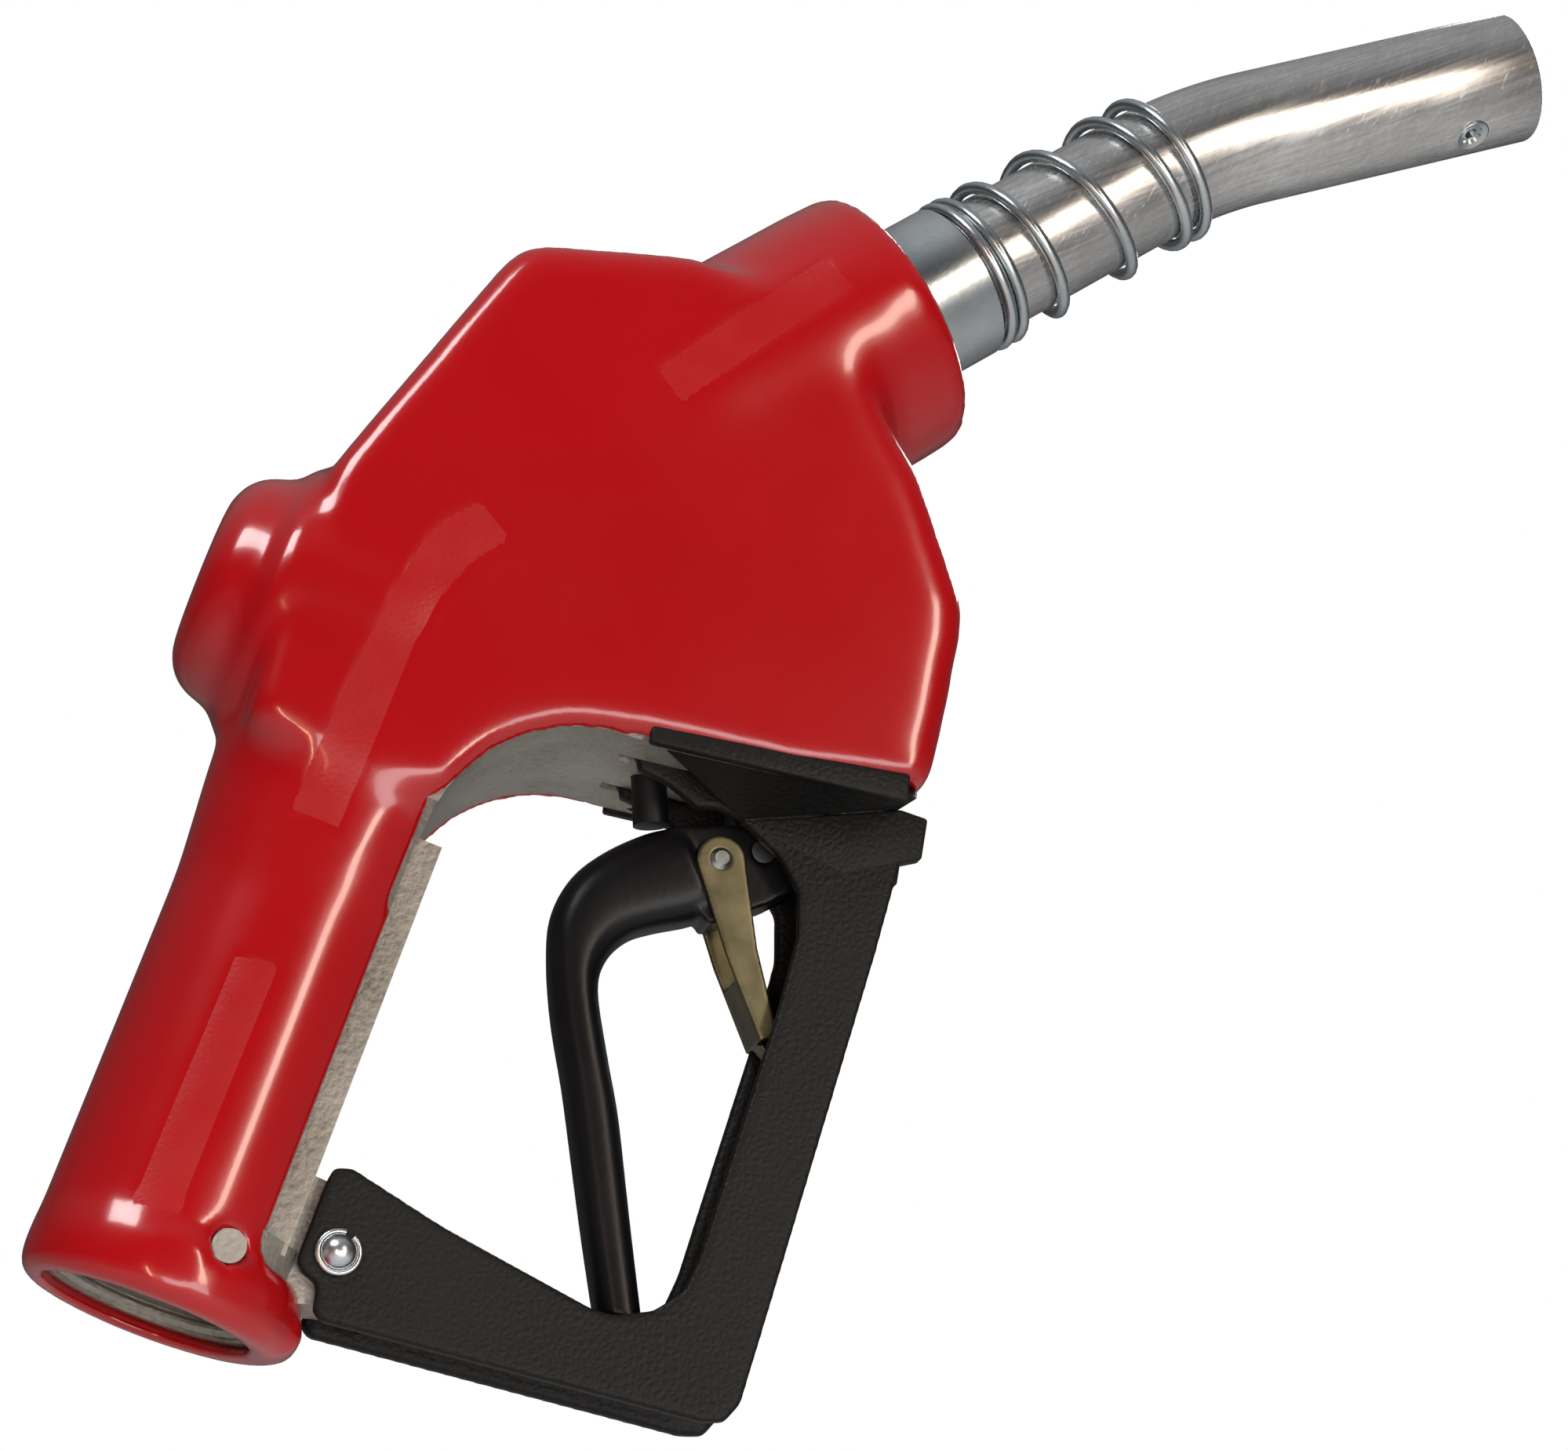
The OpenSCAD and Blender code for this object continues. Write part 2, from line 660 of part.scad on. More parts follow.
module spout_tube() {
    inner_r = spout_r - spout_wall;
    color([0.78, 0.78, 0.78]) hang() {
        at_nose() tube(-tube_back + 0.2, bend_s + 1, spout_r, inner_r);
        difference() {
            bend_bar(spout_r + bend_skin, 0, 0);
            bend_bar(inner_r - bend_skin, 0, 2);
        }
        difference() {
            at_tip() tube(-1, tip_len, spout_r, inner_r);
            at_tip() translate([tip_len - port_back, 0, -20]) cylinder(h = 20, r = port_fit_r + run_gap);
        }
    }
}

port_back = 14;
port_fit_r = 2.4;

// Turns of the wire spring: two close at each end, open between
function run_at(t) =
    t < 1.5 ? sleeve_end + 1.5 + 2.4 * t
    : t < 4.5 ? sleeve_end + 5.1 + 12.6 * (t - 1.5)
    : sleeve_end + 42.9 + 2.4 * (t - 4.5);
spring_turns = 5.6;
spring_steps = 100;

module spout_spring() {
    color([0.80, 0.81, 0.83]) hang() at_nose()
        coil([for (i = [0:spring_steps]) [i / spring_steps, run_at(spring_turns * i / spring_steps)]],
             spout_r + wire_r + 0.5, spring_turns, wire_r, 8);
}

// Check valve in the adapter
module check_seat() {
    color([0.78, 0.62, 0.30]) hang() at_nose() tube(-20, -16, 9.5, 6.5);
}

module check_poppet() {
    color([0.85, 0.85, 0.80]) hang() at_nose() {
        translate([-15.9, 0, 0]) rotate([0, 90, 0]) cylinder(h = 2.4, r1 = 7.6, r2 = 8.4);
        rod(-13.6, -6, 2);
    }
}

module check_spring() {
    color([0.75, 0.75, 0.78]) hang() at_nose() coil(even_run(-12.9, -1.2, 48), 4.4, 4, 0.5);
}

// Vent tube along the bottom of the spout
module vent_tube() {
    vent_r = 1.9;
    vent_z = -spout_r + spout_wall + vent_r + 0.4;
    color([0.85, 0.83, 0.75]) hang() {
        at_nose() translate([0, 0, vent_z]) rod(2, bend_s + 1, vent_r);
        bend_bar(vent_r + bend_skin, vent_z, 0);
        at_tip() translate([0, 0, vent_z]) rod(-1, tip_len - port_back - port_fit_r - 0.2, vent_r);
    }
}

module sensing_port() {
    color([0.75, 0.75, 0.76]) hang() at_tip() translate([tip_len - port_back, 0, 0]) difference() {
        translate([0, 0, -spout_r + 0.15]) cylinder(h = 4, r = port_fit_r);
        translate([0, 0, -spout_r - 1]) cylinder(h = 4, r = 1.1);
        translate([0, 0, -spout_r - 0.2]) cylinder(h = 1, r1 = 2.1, r2 = 1.1);
    }
}

// ---------------------------------------------------------------- parts

valve_body();
vinyl_cover();
body_plug();
plug_oring();
poppet_cap();
cap_oring();
poppet_spring();
main_poppet();
poppet_seal();
valve_seat();
valve_stem();
stem_packing();
packing_nut();
trip_housing();
trip_plunger();
plunger_spring();
latch_pin();
latch_balls();
diaphragm();
diaphragm_cap();
diaphragm_spring();
lever();
lever_pin();
hold_open_clip();
clip_rivet();
lever_guard();
guard_screws();
guard_rivet();
push_nut();
spout_adapter();
adapter_oring();
spout_screw();
spout_tube();
spout_spring();
check_seat();
check_poppet();
check_spring();
vent_tube();
sensing_port();
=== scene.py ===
"""Looks of an automatic shut-off fuel nozzle with a red vinyl cover.

Every piece is in metres in one shared frame. Sizes in the classes below are in
millimetres in the grip frame: the origin is the centre of the hose inlet, +X runs along the grip into
the body and +Z points to the back of the hand.
"""

import json
import logging
import math
from dataclasses import dataclass
from enum import Enum

import bmesh
import bpy
from mathutils import Matrix, Vector
from mathutils.bvhtree import BVHTree


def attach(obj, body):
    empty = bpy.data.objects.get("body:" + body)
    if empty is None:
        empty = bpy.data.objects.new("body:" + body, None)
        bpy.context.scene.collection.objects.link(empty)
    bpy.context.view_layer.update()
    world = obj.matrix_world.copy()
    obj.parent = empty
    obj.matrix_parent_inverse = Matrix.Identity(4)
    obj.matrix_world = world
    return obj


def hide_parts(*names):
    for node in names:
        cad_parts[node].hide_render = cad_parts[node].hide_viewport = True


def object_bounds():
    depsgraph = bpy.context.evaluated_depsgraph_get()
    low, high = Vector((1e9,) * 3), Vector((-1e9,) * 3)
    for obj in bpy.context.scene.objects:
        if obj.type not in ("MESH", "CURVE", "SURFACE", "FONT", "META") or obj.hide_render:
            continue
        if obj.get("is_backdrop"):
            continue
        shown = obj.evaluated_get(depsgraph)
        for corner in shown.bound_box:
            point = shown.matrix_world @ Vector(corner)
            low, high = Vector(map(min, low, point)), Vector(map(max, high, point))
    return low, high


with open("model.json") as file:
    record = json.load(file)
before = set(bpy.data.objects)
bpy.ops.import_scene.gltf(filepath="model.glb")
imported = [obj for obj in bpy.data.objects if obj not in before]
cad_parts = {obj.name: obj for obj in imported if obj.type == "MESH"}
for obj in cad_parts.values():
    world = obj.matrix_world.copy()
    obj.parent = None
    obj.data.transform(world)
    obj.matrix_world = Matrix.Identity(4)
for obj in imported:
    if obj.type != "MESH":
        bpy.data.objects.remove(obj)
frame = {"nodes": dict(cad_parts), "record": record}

log = logging.getLogger("nozzle")
MM = 0.001
Point = tuple[float, float]
Triple = tuple[float, float, float]
BMesh = bmesh.types.BMesh
Object = bpy.types.Object
Material = bpy.types.Material


# ---------------------------------------------------------------- frames


@dataclass(frozen=True)
class Layout:
    """Driving sizes of the nozzle's frames, as the CAD model has them."""

    hang_angle: float = 71.0
    nose: Point = (205.0, -56.5)
    spout_angle: float = 37.5
    bend_start: float = 56.0
    bend_radius: float = 90.0
    bend_angle: float = 15.0
    tip_length: float = 53.0
    port_back: float = 14.0

    def grip(self) -> Matrix:
        """Frame of the grip."""
        return Matrix.Rotation(-math.radians(self.hang_angle), 4, "Y")

    def nose_in_grip(self) -> Matrix:
        """Frame of the spout's straight base, seen from the grip's frame."""
        return self.grip().inverted() @ self.at_nose()

    def at_nose(self) -> Matrix:
        """Frame of the spout's straight base."""
        return self._turned(self.nose, self.spout_angle)

    def on_bend(self, turn: float) -> Matrix:
        """Frame on the spout's bend.

        Args:
            turn: Degrees already turned, from 0 to the bend's angle.

        Returns:
            The frame, X along the spout.
        """
        down = Matrix.Translation((self.bend_start, 0.0, -self.bend_radius))
        turned = Matrix.Rotation(math.radians(turn), 4, "Y")
        return self.at_nose() @ down @ turned @ Matrix.Translation((0.0, 0.0, self.bend_radius))

    def at_tip(self) -> Matrix:
        """Frame of the spout's straight end."""
        return self.on_bend(self.bend_angle)

    def _turned(self, place: Point, angle: float) -> Matrix:
        """Frame at a place in the grip frame, turned about Y by degrees."""
        spot = Matrix.Translation((place[0], 0.0, place[1]))
        return self.grip() @ spot @ Matrix.Rotation(math.radians(angle), 4, "Y")


LAYOUT = Layout()
ALONG_X = Matrix.Rotation(math.pi / 2, 4, "Y")
ALONG_Y = Matrix.Rotation(-math.pi / 2, 4, "X")


# ---------------------------------------------------------------- meshes


def link(thing: Object) -> None:
    """Puts an object in the scene."""
    bpy.context.scene.collection.objects.link(thing)


def outward(bm: BMesh) -> None:
    """Turns every face outward."""
    bmesh.ops.recalc_face_normals(bm, faces=bm.faces[:])


def add_bar(bm: BMesh, place: Matrix, start: float, end: float, radius: float, sides: int = 96,
            radius_end: float | None = None) -> None:
    """Adds a round bar along the X axis of a frame.

    Args:
        bm: Mesh that the bar goes into.
        place: Frame, in millimetres.
        start: Station where the bar starts.
        end: Station where the bar ends.
        radius: Radius at the start.
        sides: Number of sides.
        radius_end: Radius at the end, or the same as the start.
    """
    last = radius if radius_end is None else radius_end
    matrix = place @ Matrix.Translation(((start + end) / 2, 0.0, 0.0)) @ ALONG_X
    bmesh.ops.create_cone(bm, cap_ends=True, segments=sides, radius1=radius, radius2=last, depth=end - start,
                          matrix=matrix)


def rounded_bar(start: float, end: float, radius: float, start_edge: float, end_edge: float) -> list[Point]:
    """Half profile of a round bar with rounded edges, as stations and radii.

    Args:
        start: Station of the start.
        end: Station of the end.
        radius: Radius of the bar.
        start_edge: Rounding of the edge at the start, or 0.
        end_edge: Rounding of the edge at the end, or 0.

    Returns:
        The profile, from the axis at the start to the axis at the end.
    """
    steps = 8
    turns = [math.pi / 2 * k / steps for k in range(steps + 1)]
    first = [(start + start_edge * (1 - math.sin(t)), radius - start_edge * (1 - math.cos(t)))
             for t in reversed(turns)]
    last = [(end - end_edge * (1 - math.sin(t)), radius - end_edge * (1 - math.cos(t))) for t in turns]
    return [(start, 0.0)] + (first if start_edge else [(start, radius)]) + last + [(end, 0.0)]


def add_turned(bm: BMesh, place: Matrix, profile: list[Point], sides: int = 96) -> None:
    """Adds a solid turned about the X axis of a frame. Its half profile starts and ends on the axis."""
    made = [bm.verts.new(place @ Vector((x, 0, r))) for x, r in profile]
    edges = [bm.edges.new(pair) for pair in zip(made, made[1:])]
    centre = place.to_translation()
    axis = place.to_3x3() @ Vector((1, 0, 0))
    bmesh.ops.spin(bm, geom=made + edges, cent=centre, axis=axis, angle=2 * math.pi, steps=sides,
                   use_merge=True)
    bmesh.ops.remove_doubles(bm, verts=bm.verts, dist=0.0001)
    outward(bm)


def add_slab(bm: BMesh, place: Matrix, outline: list[Point], half: float) -> None:
    """Adds an outline in X and Z, extruded to both sides of the middle plane.

    Args:
        bm: Mesh that the slab goes into.
        place: Frame, in millimetres.
        outline: Corners of the outline.
        half: Half of the slab's width.
    """
    rim = [bm.verts.new(place @ Vector((x, -half, z))) for x, z in outline]
    face = bm.faces.new(rim)
    grown = bmesh.ops.extrude_face_region(bm, geom=[face])
    moved = [item for item in grown["geom"] if isinstance(item, bmesh.types.BMVert)]
    across = (place.to_3x3() @ Vector((0.0, 2 * half, 0.0)))
    bmesh.ops.translate(bm, verts=moved, vec=across)
    outward(bm)


def to_object(bm: BMesh, name: str, in_mm: bool = True) -> Object:
    """Turns a mesh into an object of the scene at the origin.

    Args:
        bm: Mesh, which is freed.
        name: Name of the object.
        in_mm: Whether the mesh is in millimetres.

    Returns:
        The new object.
    """
    if in_mm:
        bmesh.ops.scale(bm, verts=bm.verts, vec=(MM, MM, MM))
    mesh = bpy.data.meshes.new(name)
    bm.to_mesh(mesh)
    bm.free()
    piece = bpy.data.objects.new(name, mesh)
    link(piece)
    return piece


def bake_modifiers(piece: Object) -> None:
    """Applies all of a piece's modifiers to its mesh."""
    graph = bpy.context.evaluated_depsgraph_get()
    baked = bpy.data.meshes.new_from_object(piece.evaluated_get(graph))
    piece.modifiers.clear()
    old = piece.data
    piece.data = baked
    bpy.data.meshes.remove(old)


def remesh(piece: Object, voxel: float, smoothing: int) -> None:
    """Makes one even skin of a piece and rounds its edges.

    Args:
        piece: Piece, whose mesh is changed.
        voxel: Size of the new faces, in millimetres.
        smoothing: Number of smoothing passes.
    """
    skin = piece.modifiers.new("skin", "REMESH")
    skin.mode = "VOXEL"
    skin.voxel_size = voxel * MM
    if smoothing:
        soft = piece.modifiers.new("soft", "SMOOTH")
        soft.factor = 0.5
        soft.iterations = smoothing
    bake_modifiers(piece)
    shade_smooth(piece)


def cut(piece: Object, cutter: Object) -> None:
    """Cuts one solid out of another and removes the cutter."""
    knife = piece.modifiers.new("cut", "BOOLEAN")
    knife.operation = "DIFFERENCE"
    knife.solver = "EXACT"
    knife.use_self = True
    knife.object = cutter
    bake_modifiers(piece)
    bpy.data.objects.remove(cutter)


def inside(spot: Point, outline: list[Point]) -> bool:
    """Says whether a point lies inside an outline."""
    found = False
    for (ax, az), (bx, bz) in zip(outline, outline[1:] + outline[:1]):
        if (az > spot[1]) != (bz > spot[1]) and spot[0] < (bx - ax) * (spot[1] - az) / (bz - az) + ax:
            found = not found
    return found


def to_segment(spot: Vector, start: Vector, end: Vector) -> float:
    """Distance from a point to a segment."""
    line = end - start
    share = min(1.0, max(0.0, (spot - start).dot(line) / line.length_squared))
    return (spot - start - line * share).length


def to_row(piece: Object) -> None:
    """Turns a piece from the grip frame into the row frame."""
    piece.data.transform(LAYOUT.grip())


def shade_smooth(piece: Object, sharp_angle: float | None = None) -> None:
    """Shades a piece smooth, with edges past an angle in degrees kept sharp."""
    for polygon in piece.data.polygons:
        polygon.use_smooth = True
    if sharp_angle is not None:
        piece.data.set_sharp_from_angle(angle=math.radians(sharp_angle))


def node_copy(node: str, name: str) -> Object:
    """Copies a CAD node's mesh into a new piece with its vertices merged.

    Args:
        node: Name of the CAD node.
        name: Name of the new piece.

    Returns:
        The new piece.
    """
    bm = bmesh.new()
    bm.from_mesh(frame["nodes"][node].data)
    bmesh.ops.remove_doubles(bm, verts=bm.verts, dist=0.00001)
    return to_object(bm, name, in_mm=False)


def dress(piece: Object, material: Material) -> Object:
    """Gives a piece one material."""
    piece.data.materials.clear()
    piece.data.materials.append(material)
    return piece


def fit(piece: Object, body: str, slot: str, *nodes: str) -> None:
    """Rides a piece on a body and hides the CAD nodes that it replaces.

    Args:
        piece: Finished piece.
        body: Body that it moves with.
        slot: Material slot of the record. Not used.
        nodes: CAD nodes that it replaces.
    """
    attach(piece, body)
    if nodes:
        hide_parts(*nodes)
    log.info("%s: %d faces on %s", piece.name, len(piece.data.polygons), body)


# ---------------------------------------------------------------- materials


class Value:
    """A number in a node tree, with arithmetic."""

    def __init__(self, tree: bpy.types.NodeTree, socket: bpy.types.NodeSocket) -> None:
        """Wraps an output socket."""
        self.tree = tree
        self.socket = socket

    def _math(self, operation: str, *values: "Value | float") -> "Value":
        """Adds one Math node on the given values."""
        node = self.tree.nodes.new("ShaderNodeMath")
        node.operation = operation
        for number, value in enumerate(values):
            if isinstance(value, Value):
                self.tree.links.new(value.socket, node.inputs[number])
            else:
                node.inputs[number].default_value = value
        return Value(self.tree, node.outputs[0])

    def __add__(self, other: "Value | float") -> "Value":
        """Sum."""
        return self._math("ADD", self, other)

    def __mul__(self, other: "Value | float") -> "Value":
        """Product."""
        return self._math("MULTIPLY", self, other)

    __radd__ = __add__
    __rmul__ = __mul__


class Finish:
    """Base of all finishes: a principled shader and a few ways to vary it."""

    def __init__(self, name: str, metallic: float, roughness: float, **constants: float) -> None:
        """Makes the material.

        Args:
            name: Name of the material.
            metallic: Metallic of the shader.
            roughness: Roughness of the shader.
            constants: Other sockets of the shader, spaces written as underscores.
        """
        self.material = bpy.data.materials.new(name)
        self.material.use_nodes = True
        self.tree = self.material.node_tree
        self.shader = self.tree.nodes["Principled BSDF"]
        self.shader.inputs["Metallic"].default_value = metallic
        self.shader.inputs["Roughness"].default_value = roughness
        for socket, number in constants.items():
            self.shader.inputs[socket.replace("_", " ")].default_value = number

    def node(self, kind: str, settings: dict[str, object] | None = None, **sockets: object) -> bpy.types.Node:
        """Adds a node.

        Args:
            kind: Node type, without its ShaderNode prefix.
            settings: Properties set before the sockets.
            sockets: Values or links of the node's inputs, spaces written as underscores.

        Returns:
            The node.
        """
        made = self.tree.nodes.new("ShaderNode" + kind)
        for key, setting in (settings or {}).items():
            setattr(made, key, setting)
        for key, entry in sockets.items():
            socket = made.inputs[key.replace("_", " ")]
            if isinstance(entry, Value):
                self.tree.links.new(entry.socket, socket)
            elif isinstance(entry, bpy.types.NodeSocket):
                self.tree.links.new(entry, socket)
            else:
                socket.default_value = entry
        return made

    def place(self, scale: Triple = (1.0, 1.0, 1.0), turn: float = 0.0) -> bpy.types.NodeSocket:
        """Object coordinates, turned about Y by degrees and scaled."""
        source = self.node("TexCoord").outputs["Object"]
        if turn:
            source = self.node("Mapping", Vector=source, Rotation=(0.0, math.radians(turn), 0.0)).outputs[0]
        return self.node("Mapping", Vector=source, Scale=scale).outputs[0]

    def noise(self, where: bpy.types.NodeSocket, scale: float, detail: float = 3.0) -> Value:
        """Noise from 0 to 1."""
        made = self.node("TexNoise", Vector=where, Scale=scale, Detail=detail)
        return Value(self.tree, made.outputs["Fac"])

    def grain(self, where: bpy.types.NodeSocket, scale: float) -> Value:
        """Leather grain: the distance to the edge of each pebble."""
        made = self.node("TexVoronoi", {"feature": "DISTANCE_TO_EDGE"}, Vector=where, Scale=scale)
        return Value(self.tree, made.outputs["Distance"])

    def ramp(self, value: Value, stops: list[tuple[float, Triple]]) -> bpy.types.NodeSocket:
        """Colour ramp on a value."""
        made = self.node("ValToRGB")
        elements = made.color_ramp.elements
        while len(elements) < len(stops):
            elements.new(0.5)
        for element, (position, colour) in zip(elements, stops):
            element.position = position
            element.color = (*colour, 1.0)
        self.tree.links.new(value.socket, made.inputs["Fac"])
        return made.outputs["Color"]

    def set(self, socket: str, value: "Value | bpy.types.NodeSocket") -> None:
        """Links a varying value to a socket of the shader."""
        source = value.socket if isinstance(value, Value) else value
        self.tree.links.new(source, self.shader.inputs[socket])

    def bump(self, height: Value, strength: float, distance: float) -> None:
        """Bump from a height, distance in millimetres."""
        made = self.node("Bump", Height=height, Strength=strength, Distance=distance * MM)
        self.set("Normal", made.outputs["Normal"])


def vinyl(grained: bool) -> Material:
    """Glossy red vinyl, or the same with a leather grain."""
    name = "vinyl_grained" if grained else "vinyl"
    made = Finish(name, 0.0, 0.34 if grained else 0.2, Coat_Weight=0.1 if grained else 0.5,
                  Coat_Roughness=0.08, Specular_IOR_Level=0.5)
    where = made.place()
    cloud = made.noise(where, 14.0, 4.0)
    made.set("Base Color", made.ramp(cloud, [(0.25, (0.38, 0.0010, 0.0032)), (0.8, (0.48, 0.0018, 0.0048))]))
    if grained:
        made.bump(made.grain(where, 900.0) * 0.8 + made.noise(where, 1500.0) * 0.3, 0.3, 0.15)
        made.set("Roughness", made.noise(where, 160.0) * 0.16 + 0.3)
    else:
        made.bump(made.noise(where, 45.0, 2.0) * 0.9 + made.noise(where, 900.0, 2.0) * 0.1, 0.16, 0.5)
        made.set("Roughness", made.noise(where, 38.0, 5.0) * 0.14 + 0.13)
    return made.material


def cast_metal() -> Material:
    """Cast aluminium with a sandy skin and a few stains."""
    made = Finish("cast_metal", 0.75, 0.6)
    where = made.place()
    skin = made.noise(where, 900.0, 4.0)
    stain = made.noise(where, 60.0, 3.0)
    made.set("Base Color", made.ramp(skin * 0.45 + stain * 0.55,
                                     [(0.3, (0.17, 0.15, 0.12)), (0.45, (0.34, 0.32, 0.28)),
                                       (0.75, (0.50, 0.48, 0.44))]))
    made.set("Roughness", skin * 0.3 + 0.42)
    made.bump(skin + made.noise(where, 350.0, 2.0) * 0.8, 0.7, 0.35)
    return made.material


def black_plastic(grained: bool) -> Material:
    """Moulded black plastic, leather-grained or satin."""
    made = Finish("guard_plastic" if grained else "lever_plastic", 0.0, 0.45, Specular_IOR_Level=0.24)
    where = made.place()
    wear = made.noise(where, 30.0, 5.0)
    dark = (0.004, 0.004, 0.004) if grained else (0.004, 0.004, 0.005)
    pale = (0.010, 0.010, 0.0095) if grained else (0.007, 0.007, 0.008)
    made.set("Base Color", made.ramp(wear, [(0.3, dark), (0.8, pale)]))
    if grained:
        made.bump(made.grain(where, 760.0) + made.noise(where, 1400.0) * 0.4, 0.7, 0.22)
        made.set("Roughness", wear * 0.2 + 0.4)
    else:
        made.bump(made.noise(where, 700.0, 3.0), 0.15, 0.2)
        made.set("Roughness", wear * 0.22 + 0.22)
    return made.material


def plated(name: str, pale: Triple, dark: Triple,
           roughness: float, patch: float = 55.0) -> Material:
    """Plated steel with cloudy patches and fine marks.

    Args:
        name: Name of the material.
        pale: Colour of the bright patches.
        dark: Colour of the dull patches.
        roughness: Lowest roughness.
        patch: Scale of the patches.

    Returns:
        The material.
    """
    made = Finish(name, 1.0, roughness)
    where = made.place()
    cloud = made.noise(where, patch, 4.0)
    made.set("Base Color", made.ramp(cloud, [(0.3, dark), (0.7, pale)]))
    fine = made.noise(where, 1200.0, 3.0)
    made.set("Roughness", cloud * 0.16 + fine * 0.1 + roughness)
    made.bump(fine, 0.12, 0.1)
    return made.material


def brushed_tube() -> Material:
    """Aluminium tube with long brush marks, short scratches and dull patches."""
    made = Finish("brushed_tube", 1.0, 0.34)
    along = made.place((14.0, 1500.0, 1500.0), LAYOUT.hang_angle - LAYOUT.spout_angle - LAYOUT.bend_angle / 2)
    across = made.place((160.0, 900.0, 1500.0), 62.0)
    marks = made.noise(along, 1.0, 3.0)
    scratch = made.noise(across, 1.0, 6.0)
    cloud = made.noise(made.place(), 60.0, 6.0)
    nick = made.ramp(made.noise(across, 1.7, 5.0), [(0.62, (0.0, 0.0, 0.0)), (0.70, (1.0, 1.0, 1.0))])
    made.set("Base Color", made.ramp(marks * 0.4 + cloud * 0.3 + scratch * 0.3,
                                     [(0.32, (0.50, 0.50, 0.49)), (0.5, (0.66, 0.66, 0.65)),
                                       (0.68, (0.86, 0.86, 0.86))]))
    made.set("Roughness", marks * 0.16 + cloud * 0.14 + Value(made.tree, nick) * 0.2 + 0.12)
    made.bump(marks + scratch * 0.4, 0.16, 0.08)
    return made.material


def plain(name: str, colour: Triple, metallic: float, roughness: float) -> Material:
    """Simple finish for inner pieces, with a slight variation."""
    made = Finish(name, metallic, roughness)
    cloud = made.noise(made.place(), 120.0, 3.0)
    shaded = tuple(channel * 0.7 for channel in colour)
    made.set("Base Color", made.ramp(cloud, [(0.3, shaded), (0.7, colour)]))
    made.set("Roughness", cloud * 0.2 + roughness)
    return made.material


class Slot(Enum):
    """Material slots of the record."""

    CAST = "cast"
    VINYL = "vinyl"
    RUBBER = "rubber"
    BRASS = "brass"
    ZINC = "zinc"
    YELLOW_ZINC = "yellow_zinc"
    BLACK_PLASTIC = "black_plastic"
    LEVER_PLASTIC = "lever_plastic"
    SPOUT_METAL = "spout_metal"
    WHITE_PLASTIC = "white_plastic"


def all_finishes() -> dict[Slot, Material]:
    """Makes the finish of every slot."""
    return {
        Slot.CAST: cast_metal(),
        Slot.VINYL: vinyl(False),
        Slot.RUBBER: plain("rubber", (0.02, 0.02, 0.02), 0.0, 0.6),
        Slot.BRASS: plain("brass", (0.75, 0.55, 0.25), 1.0, 0.2),
        Slot.ZINC: plated("zinc", (0.72, 0.76, 0.78), (0.42, 0.48, 0.50), 0.12),
        Slot.YELLOW_ZINC: plated("yellow_zinc", (0.24, 0.21, 0.12), (0.13, 0.12, 0.07), 0.3, 160.0),
        Slot.BLACK_PLASTIC: black_plastic(True),
        Slot.LEVER_PLASTIC: black_plastic(False),
        Slot.SPOUT_METAL: brushed_tube(),
        Slot.WHITE_PLASTIC: plain("white_plastic", (0.75, 0.72, 0.65), 0.0, 0.4),
    }


# ---------------------------------------------------------------- pieces


